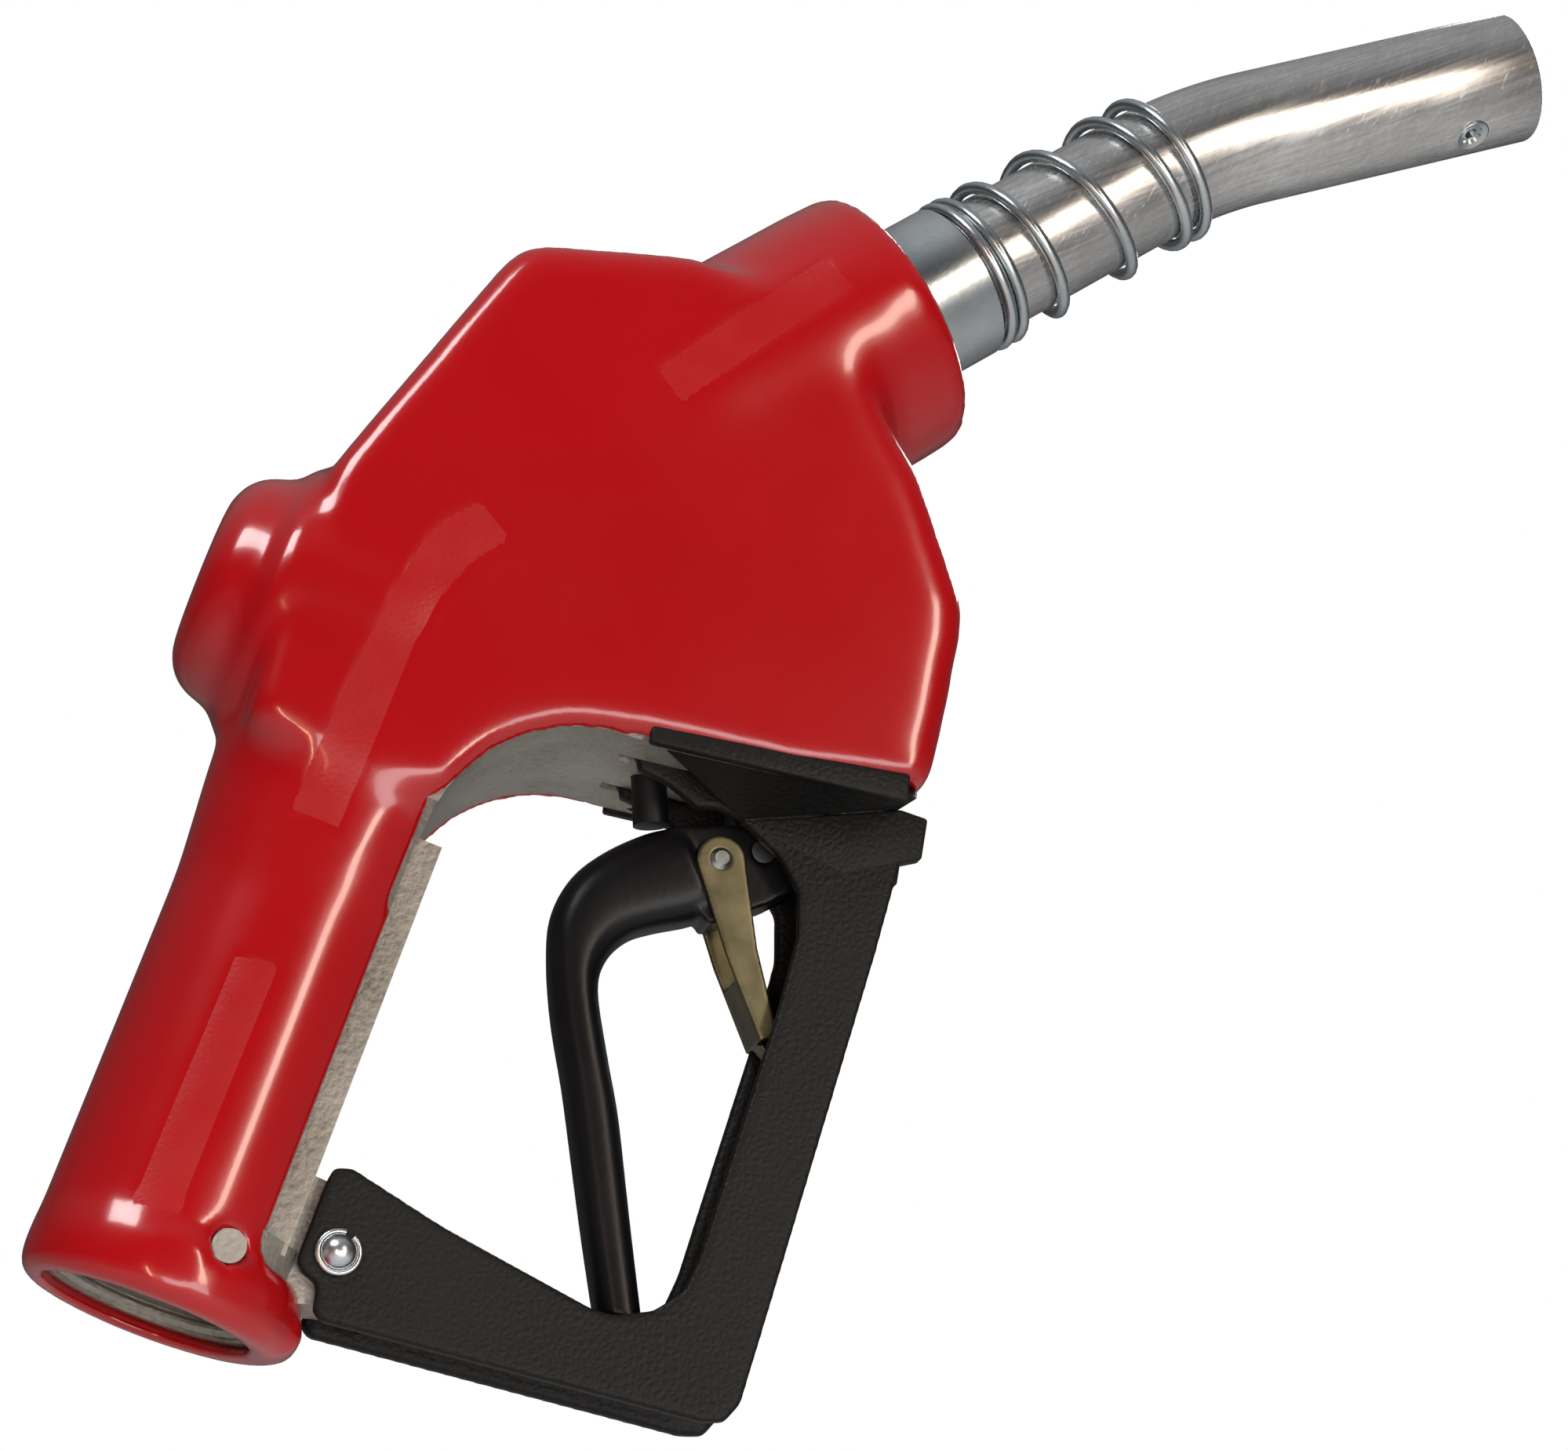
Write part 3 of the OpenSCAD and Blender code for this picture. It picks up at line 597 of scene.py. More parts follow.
@dataclass
class Cover:
    """Vinyl cover, open along the underside, with its grained panels. It is built in the grip frame."""

    wall: float = 2.4
    grip_radius: float = 20.7
    grip_rise: float = 0.8
    rim_radius: float = 22.3
    rim_drop: float = 0.7
    lip_radius: float = 16.9
    half: float = 23.5
    collar_radius: float = 24.0
    dome_centre: float = 115.0
    dome_radius: float = 20.0
    dome_top: float = 36.0
    step_top: float = 25.6
    arch: Point = (83.0, -39.5)
    arch_radius: float = 25.6
    boss: Point = (9.0, -8.0)
    boss_radius: float = 2.5
    coarse: float = 1.5
    fine: float = 1.15
    recess: float = 0.32
    recess_run: float = 1.3

    BLOCK = [(88, -13), (88, 20.6), (134, 22.6), (181.5, 8.0), (184.4, 4.4), (193.2, -21), (190.6, -47),
             (171.4, -68.8), (151.6, -83.6), (133, -86.2), (119.5, -87.6), (114, -66), (109.4, -39.5)]
    PANELS = {
        "grip_panel": [(52.5, 8), (53.5, 0.2), (10.5, 0.8), (9.5, 8.6)],
        "palm_panel": [(137, -2), (132.5, 2), (128, 4.2), (117, 6.2), (102, 7.4), (91, 8), (77, 8.4),
                       (76.6, -0.4),
                       (91, -0.8), (110, -1), (119, -2.2), (126, -4.6), (132.6, -9.2)],
        "nose_panel": [(201.5, -40.5), (197.5, -47.5), (165.5, -27), (169.8, -20.6)],
    }

    def body(self) -> Object:
        """Joins the solids whose edges are rounded widely."""
        bm = bmesh.new()
        place = Matrix.Identity(4)
        add_bar(bm, Matrix.Translation((0, 0, self.grip_rise)), -2, 104, self.grip_radius)
        grip = Matrix.Translation((0, 0, self.grip_rise))
        add_bar(bm, grip, 66, 92, self.grip_radius, radius_end=self.half - 0.6)
        add_slab(bm, place, self.BLOCK, self.half)
        add_bar(bm, LAYOUT.nose_in_grip(), -46, -2, self.collar_radius + 0.3)
        piece = to_object(bm, "cover_shell")
        remesh(piece, self.coarse, 0)
        bm = bmesh.new()
        across = Matrix.Translation((self.arch[0], 0, self.arch[1])) @ Matrix.Rotation(math.pi / 2, 4, "Z")
        add_bar(bm, across, -60, 60, self.arch_radius, 128)
        add_slab(bm, place, [(self.arch[0] - 1, -140), (self.arch[0] - 1, self.arch[1]),
                             (self.arch[0] + self.arch_radius, self.arch[1]), (119.0, -140)], 60)
        cut(piece, to_object(bm, "arch_cutter"))
        remesh(piece, self.coarse, 20)
        return piece

    def details(self, piece: Object) -> None:
        """Adds the dome, its step ring, the collar's end and the rim, which have crisper edges."""
        up = Matrix.Translation((self.dome_centre, 0, 0)) @ Matrix.Rotation(-math.pi / 2, 4, "Y")
        rim = Matrix.Translation((0, 0, -self.rim_drop))
        nose = LAYOUT.nose_in_grip()
        bm = bmesh.new()
        bm.from_mesh(piece.data)
        bmesh.ops.scale(bm, verts=bm.verts, vec=(1 / MM, 1 / MM, 1 / MM))
        for radius, top, edge in ((self.dome_radius, self.dome_top, 8.5),
                                  (self.dome_radius + 4.2, self.step_top, 3.0)):
            add_turned(bm, up, rounded_bar(0, top, radius, 0, edge))
        add_turned(bm, nose, rounded_bar(-14, 0.8, self.collar_radius, 0, 1.6))
        add_turned(bm, rim, rounded_bar(-2.6, 9.5, self.rim_radius, 2.6, 3.2))
        boss = [(-2.2, -17), (8, -17), (5.4, -22.4), (3.2, -24.6), (-0.8, -24.2)]
        add_slab(bm, Matrix.Identity(4), boss, 6.5)
        bmesh.ops.scale(bm, verts=bm.verts, vec=(MM, MM, MM))
        bm.to_mesh(piece.data)
        bm.free()
        remesh(piece, 1.2, 5)

    def build(self, finish: Material) -> Object:
        """Builds the shell with its lips; the recesses of its panels are pushed in later by sink_panels.

        Args:
            finish: Vinyl.

        Returns:
            The finished shell, still in the grip frame.
        """
        shell = self.body()
        self.details(shell)
        self._hollow(shell)
        for cutter in self._openings():
            cut(shell, cutter)
        remesh(shell, self.fine, 12)
        return dress(shell, finish)

    def _hollow(self, shell: Object) -> None:
        """Adds the inner wall, a wall's thickness inside the outer one."""
        bm = bmesh.new()
        bm.from_mesh(shell.data)
        copy = bmesh.ops.duplicate(bm, geom=bm.verts[:] + bm.edges[:] + bm.faces[:])["geom"]
        faces = [item for item in copy if isinstance(item, bmesh.types.BMFace)]
        verts = [item for item in copy if isinstance(item, bmesh.types.BMVert)]
        bm.normal_update()
        for vert in verts:
            vert.co -= vert.normal * self.wall * MM
        bmesh.ops.reverse_faces(bm, faces=faces)
        bm.to_mesh(shell.data)
        bm.free()

    def _openings(self) -> list[Object]:
        """Makes the cutters of the openings: mouth, underside, arch, leg and boss."""
        place = Matrix.Identity(4)
        bore = (add_bar, (place, -10, 7, self.lip_radius))
        under = (add_slab, (place, [(9.5, -60), (9.5, -6), (92, -6), (104, -14), (118, -36), (125, -84),
                                    (60, -84), (60, -60)], 14.8))
        vault = (add_slab, (place, [(70, -60), (70, -12), (96, -12), (110, -24), (118, -40), (125, -84.6),
                                    (100, -84.6), (100, -60)], 19.6))
        leg = (add_slab, (place, [(96, -70), (128, -70), (128, -120), (96, -120)], 10.6))
        side = Matrix.Translation((self.boss[0], 0, self.boss[1])) @ Matrix.Rotation(math.pi / 2, 4, "Z")
        hole = (add_bar, (side, -60, 60, self.boss_radius, 48))
        cutters = []
        for number, (maker, values) in enumerate((bore, under, vault, leg, hole)):
            bm = bmesh.new()
            maker(bm, *values)
            cutters.append(to_object(bm, f"cutter_{number}"))
        return cutters

    def sink_panels(self, shell: Object) -> None:
        """Pushes the shell in where the panels lie, on both sides, with soft edges."""
        for vert in shell.data.vertices:
            spot = Vector((vert.co.x, vert.co.z)) / MM
            if abs(vert.co.y) / MM < 12:
                continue
            for outline in self.PANELS.values():
                if not inside(spot, outline):
                    continue
                corners = [Vector(corner) for corner in outline]
                reach = min(to_segment(spot, a, b) for a, b in zip(corners, corners[1:] + corners[:1]))
                vert.co -= vert.normal * self.recess * MM * min(1.0, reach / self.recess_run)
                break

    def panel(self, shell: Object, name: str, side: int, finish: Material) -> Object:
        """Lays one grained panel on the shell, before the shell is pushed in.

        Args:
            shell: Finished shell.
            name: Name of the outline.
            side: -1 on the near side, 1 on the far side.
            finish: Grained vinyl.

        Returns:
            The panel, still in the grip frame.
        """
        bm = bmesh.new()
        face = bm.faces.new([bm.verts.new((x, 0, z)) for x, z in self.PANELS[name]])
        bmesh.ops.inset_region(bm, faces=[face], thickness=0.35, use_even_offset=True)
        rim = [f for f in bm.faces if f is not face and len(f.verts) == 4 and f != face]
        bmesh.ops.delete(bm, geom=rim, context="FACES")
        bmesh.ops.triangulate(bm, faces=bm.faces[:])
        for cuts in (2, 3):
            bmesh.ops.subdivide_edges(bm, edges=bm.edges[:], cuts=cuts, use_grid_fill=True)
        tree = BVHTree.FromPolygons([v.co / MM for v in shell.data.vertices],
                                    [p.vertices[:] for p in shell.data.polygons])
        for vert in bm.verts:
            hit = tree.ray_cast(Vector((vert.co.x, side * 60, vert.co.z)), Vector((0, -side, 0)))[0]
            vert.co.y = (hit.y if hit else side * self.half) - side * 0.12
        rim_verts = {v for v in bm.verts if v.is_boundary}
        skirt = bmesh.ops.extrude_edge_only(bm, edges=[e for e in bm.edges if e.is_boundary])
        for item in skirt["geom"]:
            if isinstance(item, bmesh.types.BMVert) and item not in rim_verts:
                item.co.y -= side * 0.7
        outward(bm)
        if sum(f.normal.y for f in bm.faces) * side < 0:
            bmesh.ops.reverse_faces(bm, faces=bm.faces[:])
        piece = to_object(bm, f"{name}_{'near' if side < 0 else 'far'}")
        shade_smooth(piece, 40)
        return dress(piece, finish)


def rounded_line(points: list[Point], kept: int, steps: int = 4) -> list[Point]:
    """Rounds a line with a curve through all of its points.

    Args:
        points: Corners of the line.
        kept: Number of first corners that stay as they are.
        steps: Pieces that each span is cut into.

    Returns:
        The first corners and the points of the curve after them.
    """
    rest = [Vector(point) for point in points[kept:]]
    rest = [rest[0] * 2 - rest[1], *rest, rest[-1] * 2 - rest[-2]]
    line = list(points[:kept])
    for a, b, c, d in zip(rest, rest[1:], rest[2:], rest[3:]):
        for k in range(steps):
            t = k / steps
            square = (a * 2 - b * 5 + c * 4 - d) * t ** 2 / 2
            cube = (b * 3 - a - c * 3 + d) * t ** 3 / 2
            line.append(tuple(b + (c - a) * t / 2 + square + cube))
    line.append(tuple(rest[-2]))
    return line


@dataclass
class GuardTab:
    """Flare of the guard that spreads out under the lips of the cover."""

    crease: tuple[Point, Point] = ((106.6, -61.0), (118.8, -85.6))
    lip: tuple[Point, Point] = ((111.6, -38.6), (117.4, -86.0))
    crease_half: float = 10.0
    lip_half: float = 21.4
    thickness: float = 2.4

    def build(self, side: int, finish: Material) -> Object:
        """Builds the flare of one side.

        Args:
            side: -1 on the near side, 1 on the far side.
            finish: Black plastic.

        Returns:
            The flare.
        """
        bm = bmesh.new()
        outer = [(*self.crease[0], self.crease_half), (*self.crease[1], self.crease_half),
                 (*self.lip[1], self.lip_half), (*self.lip[0], self.lip_half)]
        for deep in (0.0, self.thickness):
            bm.faces.new([bm.verts.new((x + deep, side * (y - deep), z)) for x, z, y in outer])
        bmesh.ops.bridge_loops(bm, edges=bm.edges[:])
        corner = [self.crease[0], self.crease[1], (119.0, -90.4), (112, -91.6), (104.4, -80)]
        add_slab(bm, Matrix.Translation((0, side * (self.crease_half - 1.4), 0)), corner, 1.5)
        skirt = [(112.0, -41.0), (120.6, -83.4), (116.0, -84.6), (109.2, -41.6)]
        add_slab(bm, Matrix.Translation((0, side * (self.lip_half + 0.3), 0)), skirt, 1.1)
        outward(bm)
        bmesh.ops.bevel(bm, geom=bm.edges[:], offset=0.5, affect="EDGES", segments=3, profile=0.5,
                        material=-1)
        bmesh.ops.transform(bm, matrix=LAYOUT.grip(), verts=bm.verts)
        piece = to_object(bm, f"guard_flare_{'near' if side < 0 else 'far'}")
        shade_smooth(piece, 50)
        return dress(piece, finish)


@dataclass
class Lever:
    """Lever: a round bent grip on a narrow block."""

    half: float = 5.8
    neck_half: float = 4.2
    neck_rings: int = 2
    squareness: float = 2.7
    sides: int = 40
    step: tuple[Point, Point] = ((105.0, -53.0), (94.0, -59.5))

    OUTER = [(107.6, -58.6), (104.6, -52.6), (104.0, -51.8), (101, -47.5), (95.5, -42.3),
             (89.5, -38.8), (82.5, -37.9), (75, -40), (66, -44),
             (56, -49.6), (44, -55.8), (34, -61), (22.9, -67.0)]
    INNER = [(94.4, -65.4), (92.6, -63.2), (92.0, -62.6), (89.4, -59.8), (86.2, -54.8),
             (83.2, -51.2), (78.6, -49.0), (73, -49.4), (63.5, -54.4),
             (54.8, -59.4), (44.6, -64.4), (37.6, -67.8), (23.7, -74.7)]

    def build(self, finish: Material) -> Object:
        """Builds the lever from the block of its node and a new grip."""
        block = node_copy("lever", "lever_moulded")
        bm = bmesh.new()
        bm.from_mesh(block.data)
        bmesh.ops.scale(bm, verts=bm.verts, vec=(1 / MM, 1 / MM, 1 / MM))
        bmesh.ops.transform(bm, matrix=LAYOUT.grip().inverted(), verts=bm.verts)
        start, end = (Vector((x, 0, z)) for x, z in self.step)
        across = (end - start).cross(Vector((0, 1, 0)))
        if across.x > 0:
            across = -across
        cut_geom = bmesh.ops.bisect_plane(bm, geom=bm.verts[:] + bm.edges[:] + bm.faces[:], dist=0.0001,
                                          plane_co=start + across.normalized() * 3, plane_no=across,
                                          clear_outer=True)
        edges = [item for item in cut_geom["geom_cut"] if isinstance(item, bmesh.types.BMEdge)]
        bmesh.ops.holes_fill(bm, edges=edges, sides=0)
        rings = []
        outer, inner = (rounded_line(line, self.neck_rings) for line in (self.OUTER, self.INNER))
        for number, ((ox, oz), (ix, iz)) in enumerate(zip(outer, inner)):
            half = self.neck_half if number < self.neck_rings else self.half
            middle = Vector(((ox + ix) / 2, 0, (oz + iz) / 2))
            reach = Vector((ox - ix, 0, oz - iz)) / 2
            ring = []
            for k in range(self.sides):
                angle = 2 * math.pi * k / self.sides
                c, d = math.cos(angle), math.sin(angle)
                along = math.copysign(abs(c) ** (2 / self.squareness), c)
                wide = math.copysign(abs(d) ** (2 / self.squareness), d)
                ring.append(bm.verts.new(middle + reach * along + Vector((0, half * wide, 0))))
            rings.append(ring)
        for low, high in zip(rings, rings[1:]):
            for k in range(self.sides):
                n = (k + 1) % self.sides
                bm.faces.new((low[k], low[n], high[n], high[k]))
        bm.faces.new(rings[0])
        bm.faces.new(rings[-1])
        outward(bm)
        bmesh.ops.transform(bm, matrix=LAYOUT.grip(), verts=bm.verts)
        bmesh.ops.scale(bm, verts=bm.verts, vec=(MM, MM, MM))
        bm.to_mesh(block.data)
        bm.free()
        remesh(block, 0.5, 9)
        return dress(block, finish)


@dataclass
class Moulding:
    """A CAD node that is remade with the soft edges of a moulding."""

    node: str
    voxel: float
    smoothing: int

    def build(self, finish: Material) -> Object:
        """Builds the softened piece."""
        piece = node_copy(self.node, self.node + "_moulded")
        remesh(piece, self.voxel, self.smoothing)
        return dress(piece, finish)


@dataclass
class Spout:
    """Spout tube, its wire spring and the rings on it."""

    radius: float = 11.9
    wall: float = 1.3
    back: float = 7.8
    wire: float = 1.1
    coil_gap: float = 0.35
    turns: float = 6.0
    port_radius: float = 3.3
    port_turn: float = -24.0

    def stations(self) -> list[Matrix]:
        """Frames along the tube, from its base to its tip."""
        base = LAYOUT.at_nose()
        steps = 16
        straight = [base @ Matrix.Translation((x, 0, 0)) for x in (-self.back, 20.0, 40.0)]
        bend = [LAYOUT.on_bend(LAYOUT.bend_angle * k / steps) for k in range(steps + 1)]
        tip = [LAYOUT.at_tip() @ Matrix.Translation((x, 0, 0)) for x in (18.0, 36.0, LAYOUT.tip_length)]
        return straight + bend + tip

    def tube(self, finish: Material) -> Object:
        """Builds the tube with its wall, rolled rim and port hole."""
        bm = bmesh.new()
        frames = self.stations()
        ring = bmesh.ops.create_circle(bm, segments=96, radius=self.radius,
                                       matrix=frames[0] @ ALONG_X)["verts"]
        edges = list({e for v in ring for e in v.link_edges})
        for before, after in zip(frames, frames[1:]):
            grown = bmesh.ops.extrude_edge_only(bm, edges=edges)["geom"]
            verts = [item for item in grown if isinstance(item, bmesh.types.BMVert)]
            edges = [item for item in grown if isinstance(item, bmesh.types.BMEdge)]
            bmesh.ops.transform(bm, matrix=after @ before.inverted(), verts=verts)
        outward(bm)
        middle = bm.faces[0].calc_center_median()
        axis = frames[0].to_translation()
        if bm.faces[0].normal.dot(middle - axis) < 0:
            bmesh.ops.reverse_faces(bm, faces=bm.faces[:])
        piece = to_object(bm, "spout_tube_bent")
        wall = piece.modifiers.new("wall", "SOLIDIFY")
        wall.thickness = self.wall * MM
        wall.offset = -1
        rim = piece.modifiers.new("rim", "BEVEL")
        rim.width = 0.35 * MM
        rim.segments = 3
        rim.limit_method = "ANGLE"
        rim.angle_limit = math.radians(60)
        bake_modifiers(piece)
        drill = bmesh.new()
        add_bar(drill, self.port_place(), 0, 20, self.port_radius, 48)
        cut(piece, to_object(drill, "port_drill"))
        shade_smooth(piece, 35)
        return dress(piece, finish)

    def port_place(self) -> Matrix:
        """Frame of the sensing port, X pointing out of the tube."""
        spot = LAYOUT.at_tip() @ Matrix.Translation((LAYOUT.tip_length - LAYOUT.port_back, 0, 0))
        return spot @ Matrix.Rotation(math.radians(self.port_turn), 4, "X") @ ALONG_X

    def port(self, finish: Material) -> Object:
        """Builds the sensing port: a countersunk disc with a small hole."""
        bm = bmesh.new()
        out, wide = self.radius, self.port_radius
        profile = [(out - 3.2, wide - 0.05), (out - 0.05, wide - 0.05),
                   (out + 0.1, wide - 0.25), (out - 0.25, 2.1), (out - 0.9, 1.7),
                   (self.radius - 0.7, 1.1), (self.radius - 3.2, 1.0)]
        made = [bm.verts.new((x, 0, r)) for x, r in profile]
        edges = [bm.edges.new(pair) for pair in zip(made, made[1:] + made[:1])]
        bmesh.ops.spin(bm, geom=made + edges, cent=(0, 0, 0), axis=(1, 0, 0), angle=2 * math.pi, steps=48,
                       use_merge=True)
        bmesh.ops.transform(bm, matrix=self.port_place(), verts=bm.verts)
        bmesh.ops.remove_doubles(bm, verts=bm.verts, dist=0.0001)
        outward(bm)
        piece = to_object(bm, "port_insert")
        shade_smooth(piece, 30)
        return dress(piece, finish)

    def spring_station(self, turn: float) -> float:
        """Station of the wire after a number of turns: close at both ends, open between."""
        knots = [(0.0, 16.3), (0.75, 17.3), (1.75, 19.9), (2.75, 29.2), (3.75, 44.6), (4.75, 56.8),
                 (6.0, 61.6)]
        for (before, low), (after, high) in zip(knots, knots[1:]):
            if turn <= after:
                return low + (high - low) * (turn - before) / (after - before)
        return knots[-1][1]

    def spring(self, finish: Material) -> Object:
        """Builds the wire spring as a fine tube."""
        base = LAYOUT.at_nose()
        per_turn = 40
        count = int(self.turns * per_turn)
        line = bpy.data.curves.new("spring_line", "CURVE")
        line.dimensions = "3D"
        line.bevel_depth = self.wire * MM
        line.bevel_resolution = 4
        line.use_fill_caps = True
        spline = line.splines.new("POLY")
        spline.points.add(count)
        for k in range(count + 1):
            turn = k / per_turn
            angle = 2 * math.pi * turn
            reach = self.radius + self.wire + self.coil_gap
            spot = (self.spring_station(turn), reach * math.cos(angle), reach * math.sin(angle))
            spline.points[k].co = (*(base @ Vector(spot) * MM), 1.0)
        holder = bpy.data.objects.new("spring_holder", line)
        link(holder)
        graph = bpy.context.evaluated_depsgraph_get()
        mesh = bpy.data.meshes.new_from_object(holder.evaluated_get(graph))
        bpy.data.objects.remove(holder)
        piece = bpy.data.objects.new("spout_wire_spring", mesh)
        link(piece)
        shade_smooth(piece)
        return dress(piece, finish)


@dataclass
class Hardware:
    """Small bright pieces: rivet head, split ring and the thread of the inlet."""

    rivet: Point = (16.0, -24.5)
    dome: float = 3.0
    ring: float = 3.3
    ring_wire: float = 0.5
    ring_turn: float = 335.0
    guard_half: float = 10.0
    thread_radius: float = 16.0
    thread_start: float = 1.4
    thread_pitch: float = 2.2
    thread_turns: int = 8

    def _on_rivet(self, bm: BMesh, name: str, proud: float, angle: float, finish: Material) -> Object:
        """Sets a mesh on the rivet's near end, proud of the guard, and makes it a piece."""
        spot = Matrix.Translation((self.rivet[0], -self.guard_half - proud, self.rivet[1]))
        turned = LAYOUT.grip() @ spot @ Matrix.Rotation(math.pi / 2, 4, "X")
        bmesh.ops.transform(bm, matrix=turned, verts=bm.verts)
        outward(bm)
        piece = to_object(bm, name)
        shade_smooth(piece, angle)
        return dress(piece, finish)

    def rivet_head(self, finish: Material) -> Object:
        """Domed head of the guard's rivet on the near side."""
        bm = bmesh.new()
        bmesh.ops.create_uvsphere(bm, u_segments=48, v_segments=24, radius=self.dome)
        bmesh.ops.bisect_plane(bm, geom=bm.verts[:] + bm.edges[:] + bm.faces[:], plane_co=(0, 0, 0.8),
                               plane_no=(0, 0, 1), clear_inner=True)
        bmesh.ops.holes_fill(bm, edges=[e for e in bm.edges if e.is_boundary])
        return self._on_rivet(bm, "guard_rivet_head", 0.2, 50, finish)

    def split_ring(self, finish: Material) -> Object:
        """Open ring round the rivet's head."""
        bm = bmesh.new()
        place = Matrix.Translation((self.ring, 0, 0)) @ Matrix.Rotation(math.pi / 2, 4, "X")
        ring = bmesh.ops.create_circle(bm, segments=16, radius=self.ring_wire, matrix=place)["verts"]
        edges = list({e for v in ring for e in v.link_edges})
        bmesh.ops.spin(bm, geom=ring + edges, cent=(0, 0, 0), axis=(0, 0, 1),
                       angle=math.radians(self.ring_turn), steps=64)
        bmesh.ops.holes_fill(bm, edges=[e for e in bm.edges if e.is_boundary])
        return self._on_rivet(bm, "guard_split_ring", 0.55, 60, finish)

    def thread(self, finish: Material) -> Object:
        """Ridges of the inlet's thread."""
        bm = bmesh.new()
        for k in range(self.thread_turns):
            start = self.thread_start + k * self.thread_pitch
            root, crest = self.thread_radius + 0.3, self.thread_radius - 1.1
            profile = [(start - 0.9, root), (start - 0.15, crest), (start + 0.15, crest), (start + 0.9, root)]
            verts = [bm.verts.new((x, 0, r)) for x, r in profile]
            edges = [bm.edges.new((a, b)) for a, b in zip(verts, verts[1:])]
            bmesh.ops.spin(bm, geom=verts + edges, cent=(0, 0, 0), axis=(1, 0, 0), angle=2 * math.pi,
                           steps=96, use_merge=True)
        bmesh.ops.transform(bm, matrix=LAYOUT.grip(), verts=bm.verts)
        outward(bm)
        piece = to_object(bm, "inlet_thread")
        solid = piece.modifiers.new("wall", "SOLIDIFY")
        solid.thickness = 0.2 * MM
        bake_modifiers(piece)
        shade_smooth(piece, 30)
        return dress(piece, finish)


# ---------------------------------------------------------------- stage


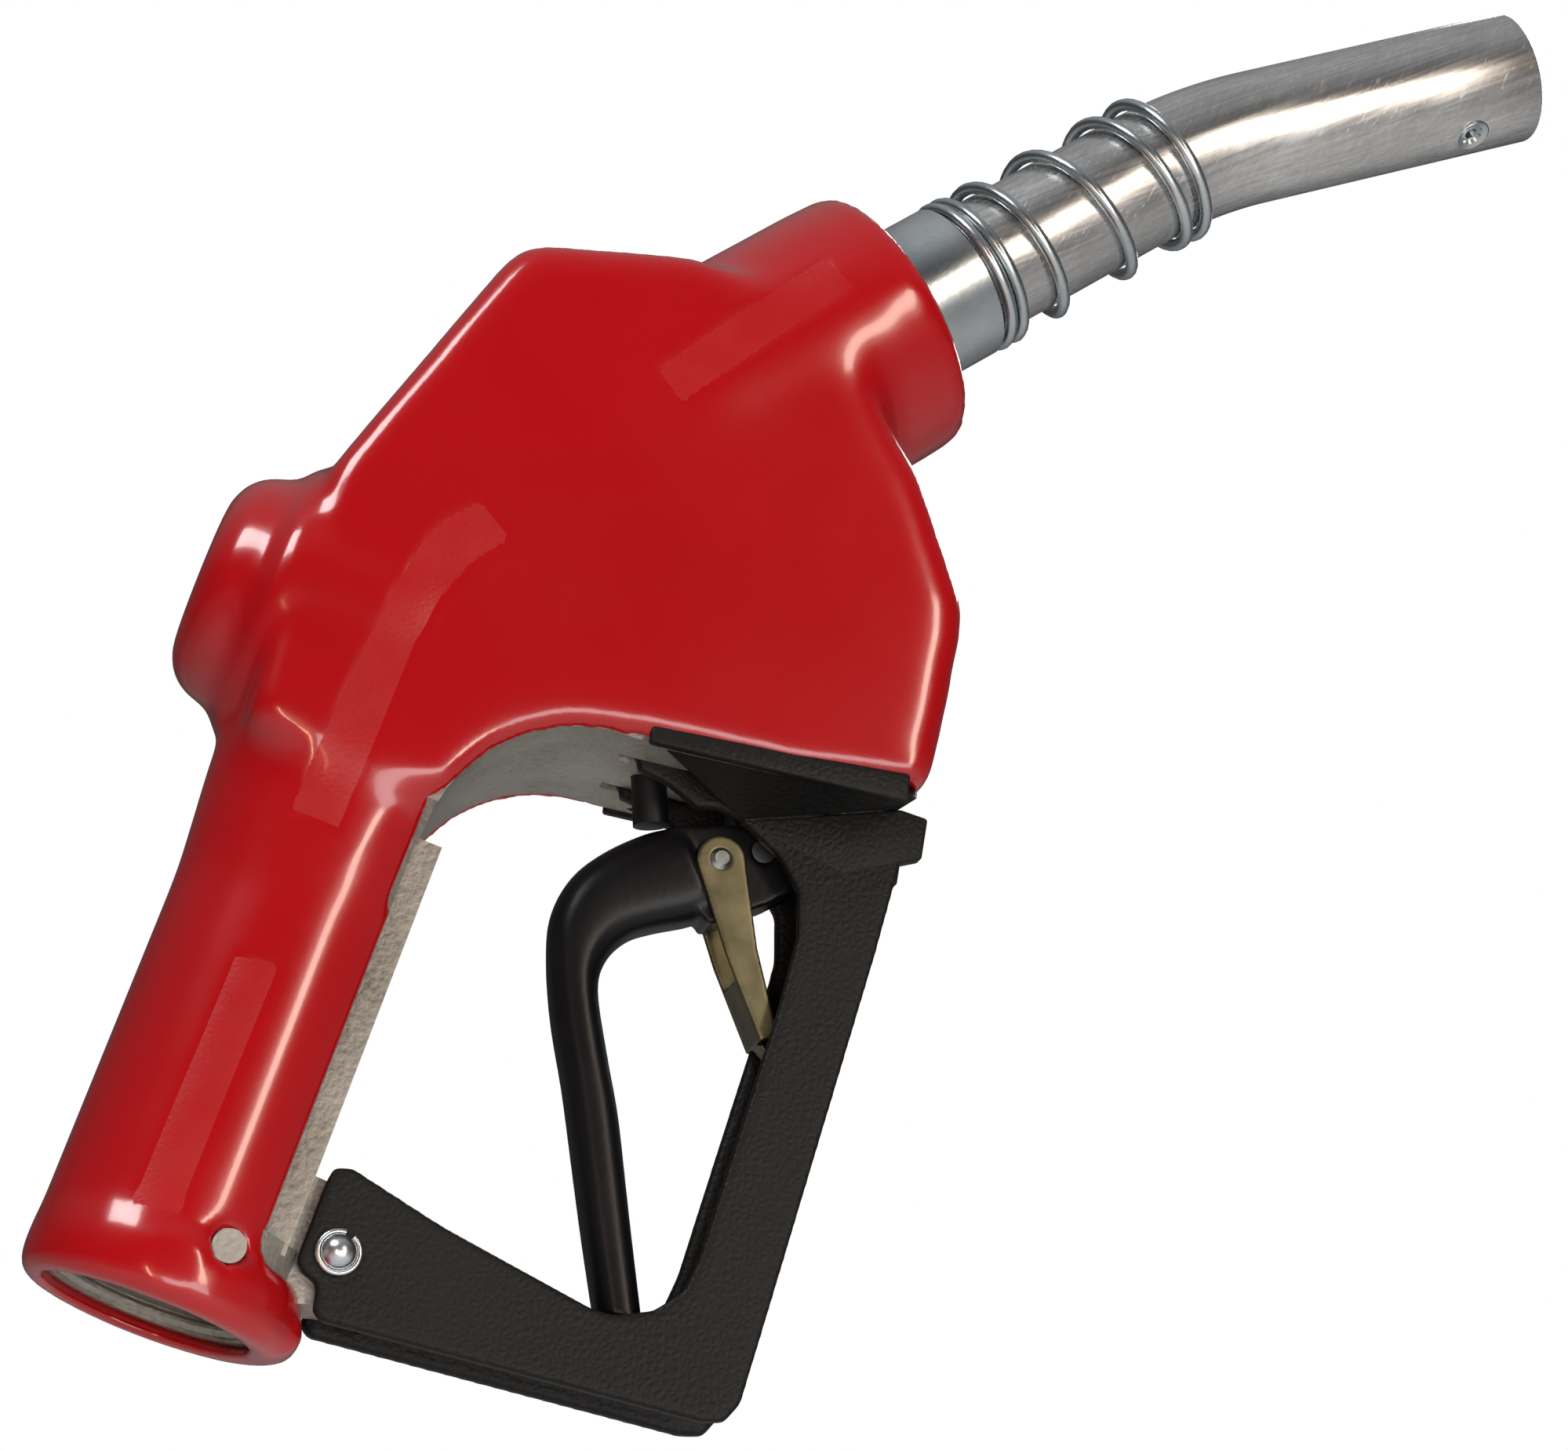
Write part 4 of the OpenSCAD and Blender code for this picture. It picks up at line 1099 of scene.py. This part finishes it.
@dataclass
class Stage:
    """Camera, lights, world and floor."""

    target: Triple = (101.9, 0.0, 100.85)
    azimuth: float = 12.319
    elevation: float = 16.636
    distance: float = 728.5
    focal: float = 5519.0
    image_width: float = 1999.0
    floor_drop: float = 0.45
    room_strength: float = 0.75
    backdrop_strength: float = 1.25

    def camera(self) -> None:
        """Makes the camera: below the nozzle, a little to its left."""
        a, e = math.radians(self.azimuth), math.radians(self.elevation)
        look = Vector((math.sin(a) * math.cos(e), math.cos(a) * math.cos(e), math.sin(e)))
        data = bpy.data.cameras.new("camera")
        data.sensor_fit = "HORIZONTAL"
        data.sensor_width = 36.0
        data.lens = 36.0 * self.focal / self.image_width
        data.clip_start = 0.01
        eye = bpy.data.objects.new("camera", data)
        eye.location = (Vector(self.target) - look * self.distance) * MM
        eye.rotation_euler = look.to_track_quat("-Z", "Y").to_euler()
        link(eye)
        bpy.context.scene.camera = eye

    def light(self, name: str, place: Triple, size: tuple[float, float], power: float,
              colour: Triple = (1.0, 1.0, 1.0)) -> None:
        """Adds a soft area light that faces the nozzle.

        Args:
            name: Name of the light.
            place: Place in metres from the nozzle's middle.
            size: Width and height in metres.
            power: Power in watts.
            colour: Colour of the light.
        """
        data = bpy.data.lights.new(name, "AREA")
        data.shape = "RECTANGLE"
        data.size, data.size_y = size
        data.energy = power
        data.color = colour
        lamp = bpy.data.objects.new(name, data)
        middle = Vector(self.target) * MM
        lamp.location = middle + Vector(place)
        lamp.rotation_euler = (-Vector(place)).to_track_quat("-Z", "Y").to_euler()
        link(lamp)

    def world(self) -> None:
        """Makes a white background, with a room of bright and dark parts in the reflections."""
        world = bpy.data.worlds.new("studio")
        world.use_nodes = True
        bpy.context.scene.world = world
        tree = world.node_tree
        room = tree.nodes["Background"]
        room.inputs["Strength"].default_value = self.room_strength
        source = tree.nodes.new("ShaderNodeTexCoord")
        split = tree.nodes.new("ShaderNodeSeparateXYZ")
        tree.links.new(source.outputs["Generated"], split.inputs[0])
        ramp = tree.nodes.new("ShaderNodeMapRange")
        ramp.inputs["From Min"].default_value = -1.0
        tree.links.new(split.outputs["Z"], ramp.inputs["Value"])
        shades = tree.nodes.new("ShaderNodeValToRGB")
        stops = [(0.0, 0.65), (0.3, 0.5), (0.47, 0.2), (0.56, 0.08), (0.72, 0.08), (0.86, 0.3), (1.0, 0.5)]
        elements = shades.color_ramp.elements
        while len(elements) < len(stops):
            elements.new(0.5)
        for element, (position, grey) in zip(elements, stops):
            element.position = position
            element.color = (grey, grey, grey * 1.03, 1.0)
        tree.links.new(ramp.outputs[0], shades.inputs["Fac"])
        tree.links.new(shades.outputs["Color"], room.inputs["Color"])
        bright = tree.nodes.new("ShaderNodeBackground")
        bright.inputs["Strength"].default_value = self.backdrop_strength
        path = tree.nodes.new("ShaderNodeLightPath")
        mix = tree.nodes.new("ShaderNodeMixShader")
        tree.links.new(path.outputs["Is Camera Ray"], mix.inputs[0])
        tree.links.new(room.outputs[0], mix.inputs[1])
        tree.links.new(bright.outputs[0], mix.inputs[2])
        tree.links.new(mix.outputs[0], tree.nodes["World Output"].inputs["Surface"])

    def floor(self, low: float) -> None:
        """Lays a pale floor under the nozzle's lowest point, given in metres."""
        bm = bmesh.new()
        bmesh.ops.create_grid(bm, x_segments=1, y_segments=1, size=3.0)
        bmesh.ops.translate(bm, verts=bm.verts, vec=(0, 0, low - self.floor_drop))
        piece = to_object(bm, "floor", in_mm=False)
        made = Finish("floor", 0.0, 0.8)
        made.shader.inputs["Base Color"].default_value = (0.8, 0.8, 0.8, 1.0)
        dress(piece, made.material)
        piece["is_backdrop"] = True

    def build(self, low: float) -> None:
        """Makes the whole stage. The nozzle's lowest point is given in metres."""
        bpy.context.scene.view_settings.view_transform = "Standard"
        self.camera()
        self.world()
        self.floor(low)
        self.light("key", (-0.75, -0.75, 1.0), (0.6, 0.45), 10.0)
        self.light("front", (0.55, -1.1, 0.1), (0.12, 0.7), 4.0, (1.0, 0.84, 0.7))
        self.light("fill", (0.2, -1.2, -0.5), (0.9, 0.5), 7.0)
        self.light("rear", (0.7, 0.7, 0.7), (0.5, 0.5), 6.0)
        self.light("warm", (-0.35, -0.9, -0.2), (0.04, 0.3), 1.0, (1.0, 0.62, 0.4))


def main() -> None:
    """Builds the stage and every piece in order."""
    logging.basicConfig(level=logging.INFO, format="%(name)s: %(message)s")
    cad_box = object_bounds()
    Stage().build(float(cad_box[0][2]))
    finishes = all_finishes()
    for entry in frame["record"]["subparts"]:
        dress_node(entry["node"], finishes[Slot(entry["material_slot"])])
    # Painted shade: the valve stem and guard screws get a near-black steel finish in place of their zinc,
    # standing in for the shade they sit in.
    painted_shade_steel = plain("painted_shade_steel", (0.05, 0.05, 0.055), 1.0, 0.35)
    for node in ("valve_stem", "guard_screws"):
        dress_node(node, painted_shade_steel)

    cover = Cover()
    shell = cover.build(finishes[Slot.VINYL])
    grained = vinyl(True)
    panels = [cover.panel(shell, name, side, grained) for name in cover.PANELS for side in (-1, 1)]
    cover.sink_panels(shell)
    to_row(shell)
    fit(shell, "housing", "vinyl", "vinyl_cover")
    for panel in panels:
        to_row(panel)
        fit(panel, "housing", "vinyl")

    guard = Moulding("lever_guard", 0.62, 9).build(finishes[Slot.BLACK_PLASTIC])
    fit(guard, "housing", "black_plastic", "lever_guard")
    for side in (-1, 1):
        fit(GuardTab().build(side, finishes[Slot.BLACK_PLASTIC]), "housing", "black_plastic")
    lever = Lever().build(finishes[Slot.LEVER_PLASTIC])
    fit(lever, "lever", "lever_plastic", "lever")
    clip = Moulding("hold_open_clip", 0.3, 3).build(finishes[Slot.YELLOW_ZINC])
    fit(clip, "clip", "yellow_zinc", "hold_open_clip")

    spout = Spout()
    fit(spout.tube(finishes[Slot.SPOUT_METAL]), "housing", "spout_metal", "spout_tube")
    fit(spout.spring(finishes[Slot.ZINC]), "housing", "zinc", "spout_spring")
    fit(spout.port(finishes[Slot.ZINC]), "housing", "zinc", "sensing_port")

    hardware = Hardware()
    fit(hardware.rivet_head(finishes[Slot.ZINC]), "housing", "zinc")
    fit(hardware.split_ring(finishes[Slot.ZINC]), "housing", "zinc", "push_nut")
    fit(hardware.thread(finishes[Slot.CAST]), "housing", "cast")


def dress_node(node: str, material: Material) -> None:
    """Gives a CAD node's object a finish in every slot."""
    piece = frame["nodes"][node]
    if not piece.material_slots:
        piece.data.materials.append(material)
    for slot in piece.material_slots:
        slot.material = material


if __name__ == "__main__":
    main()
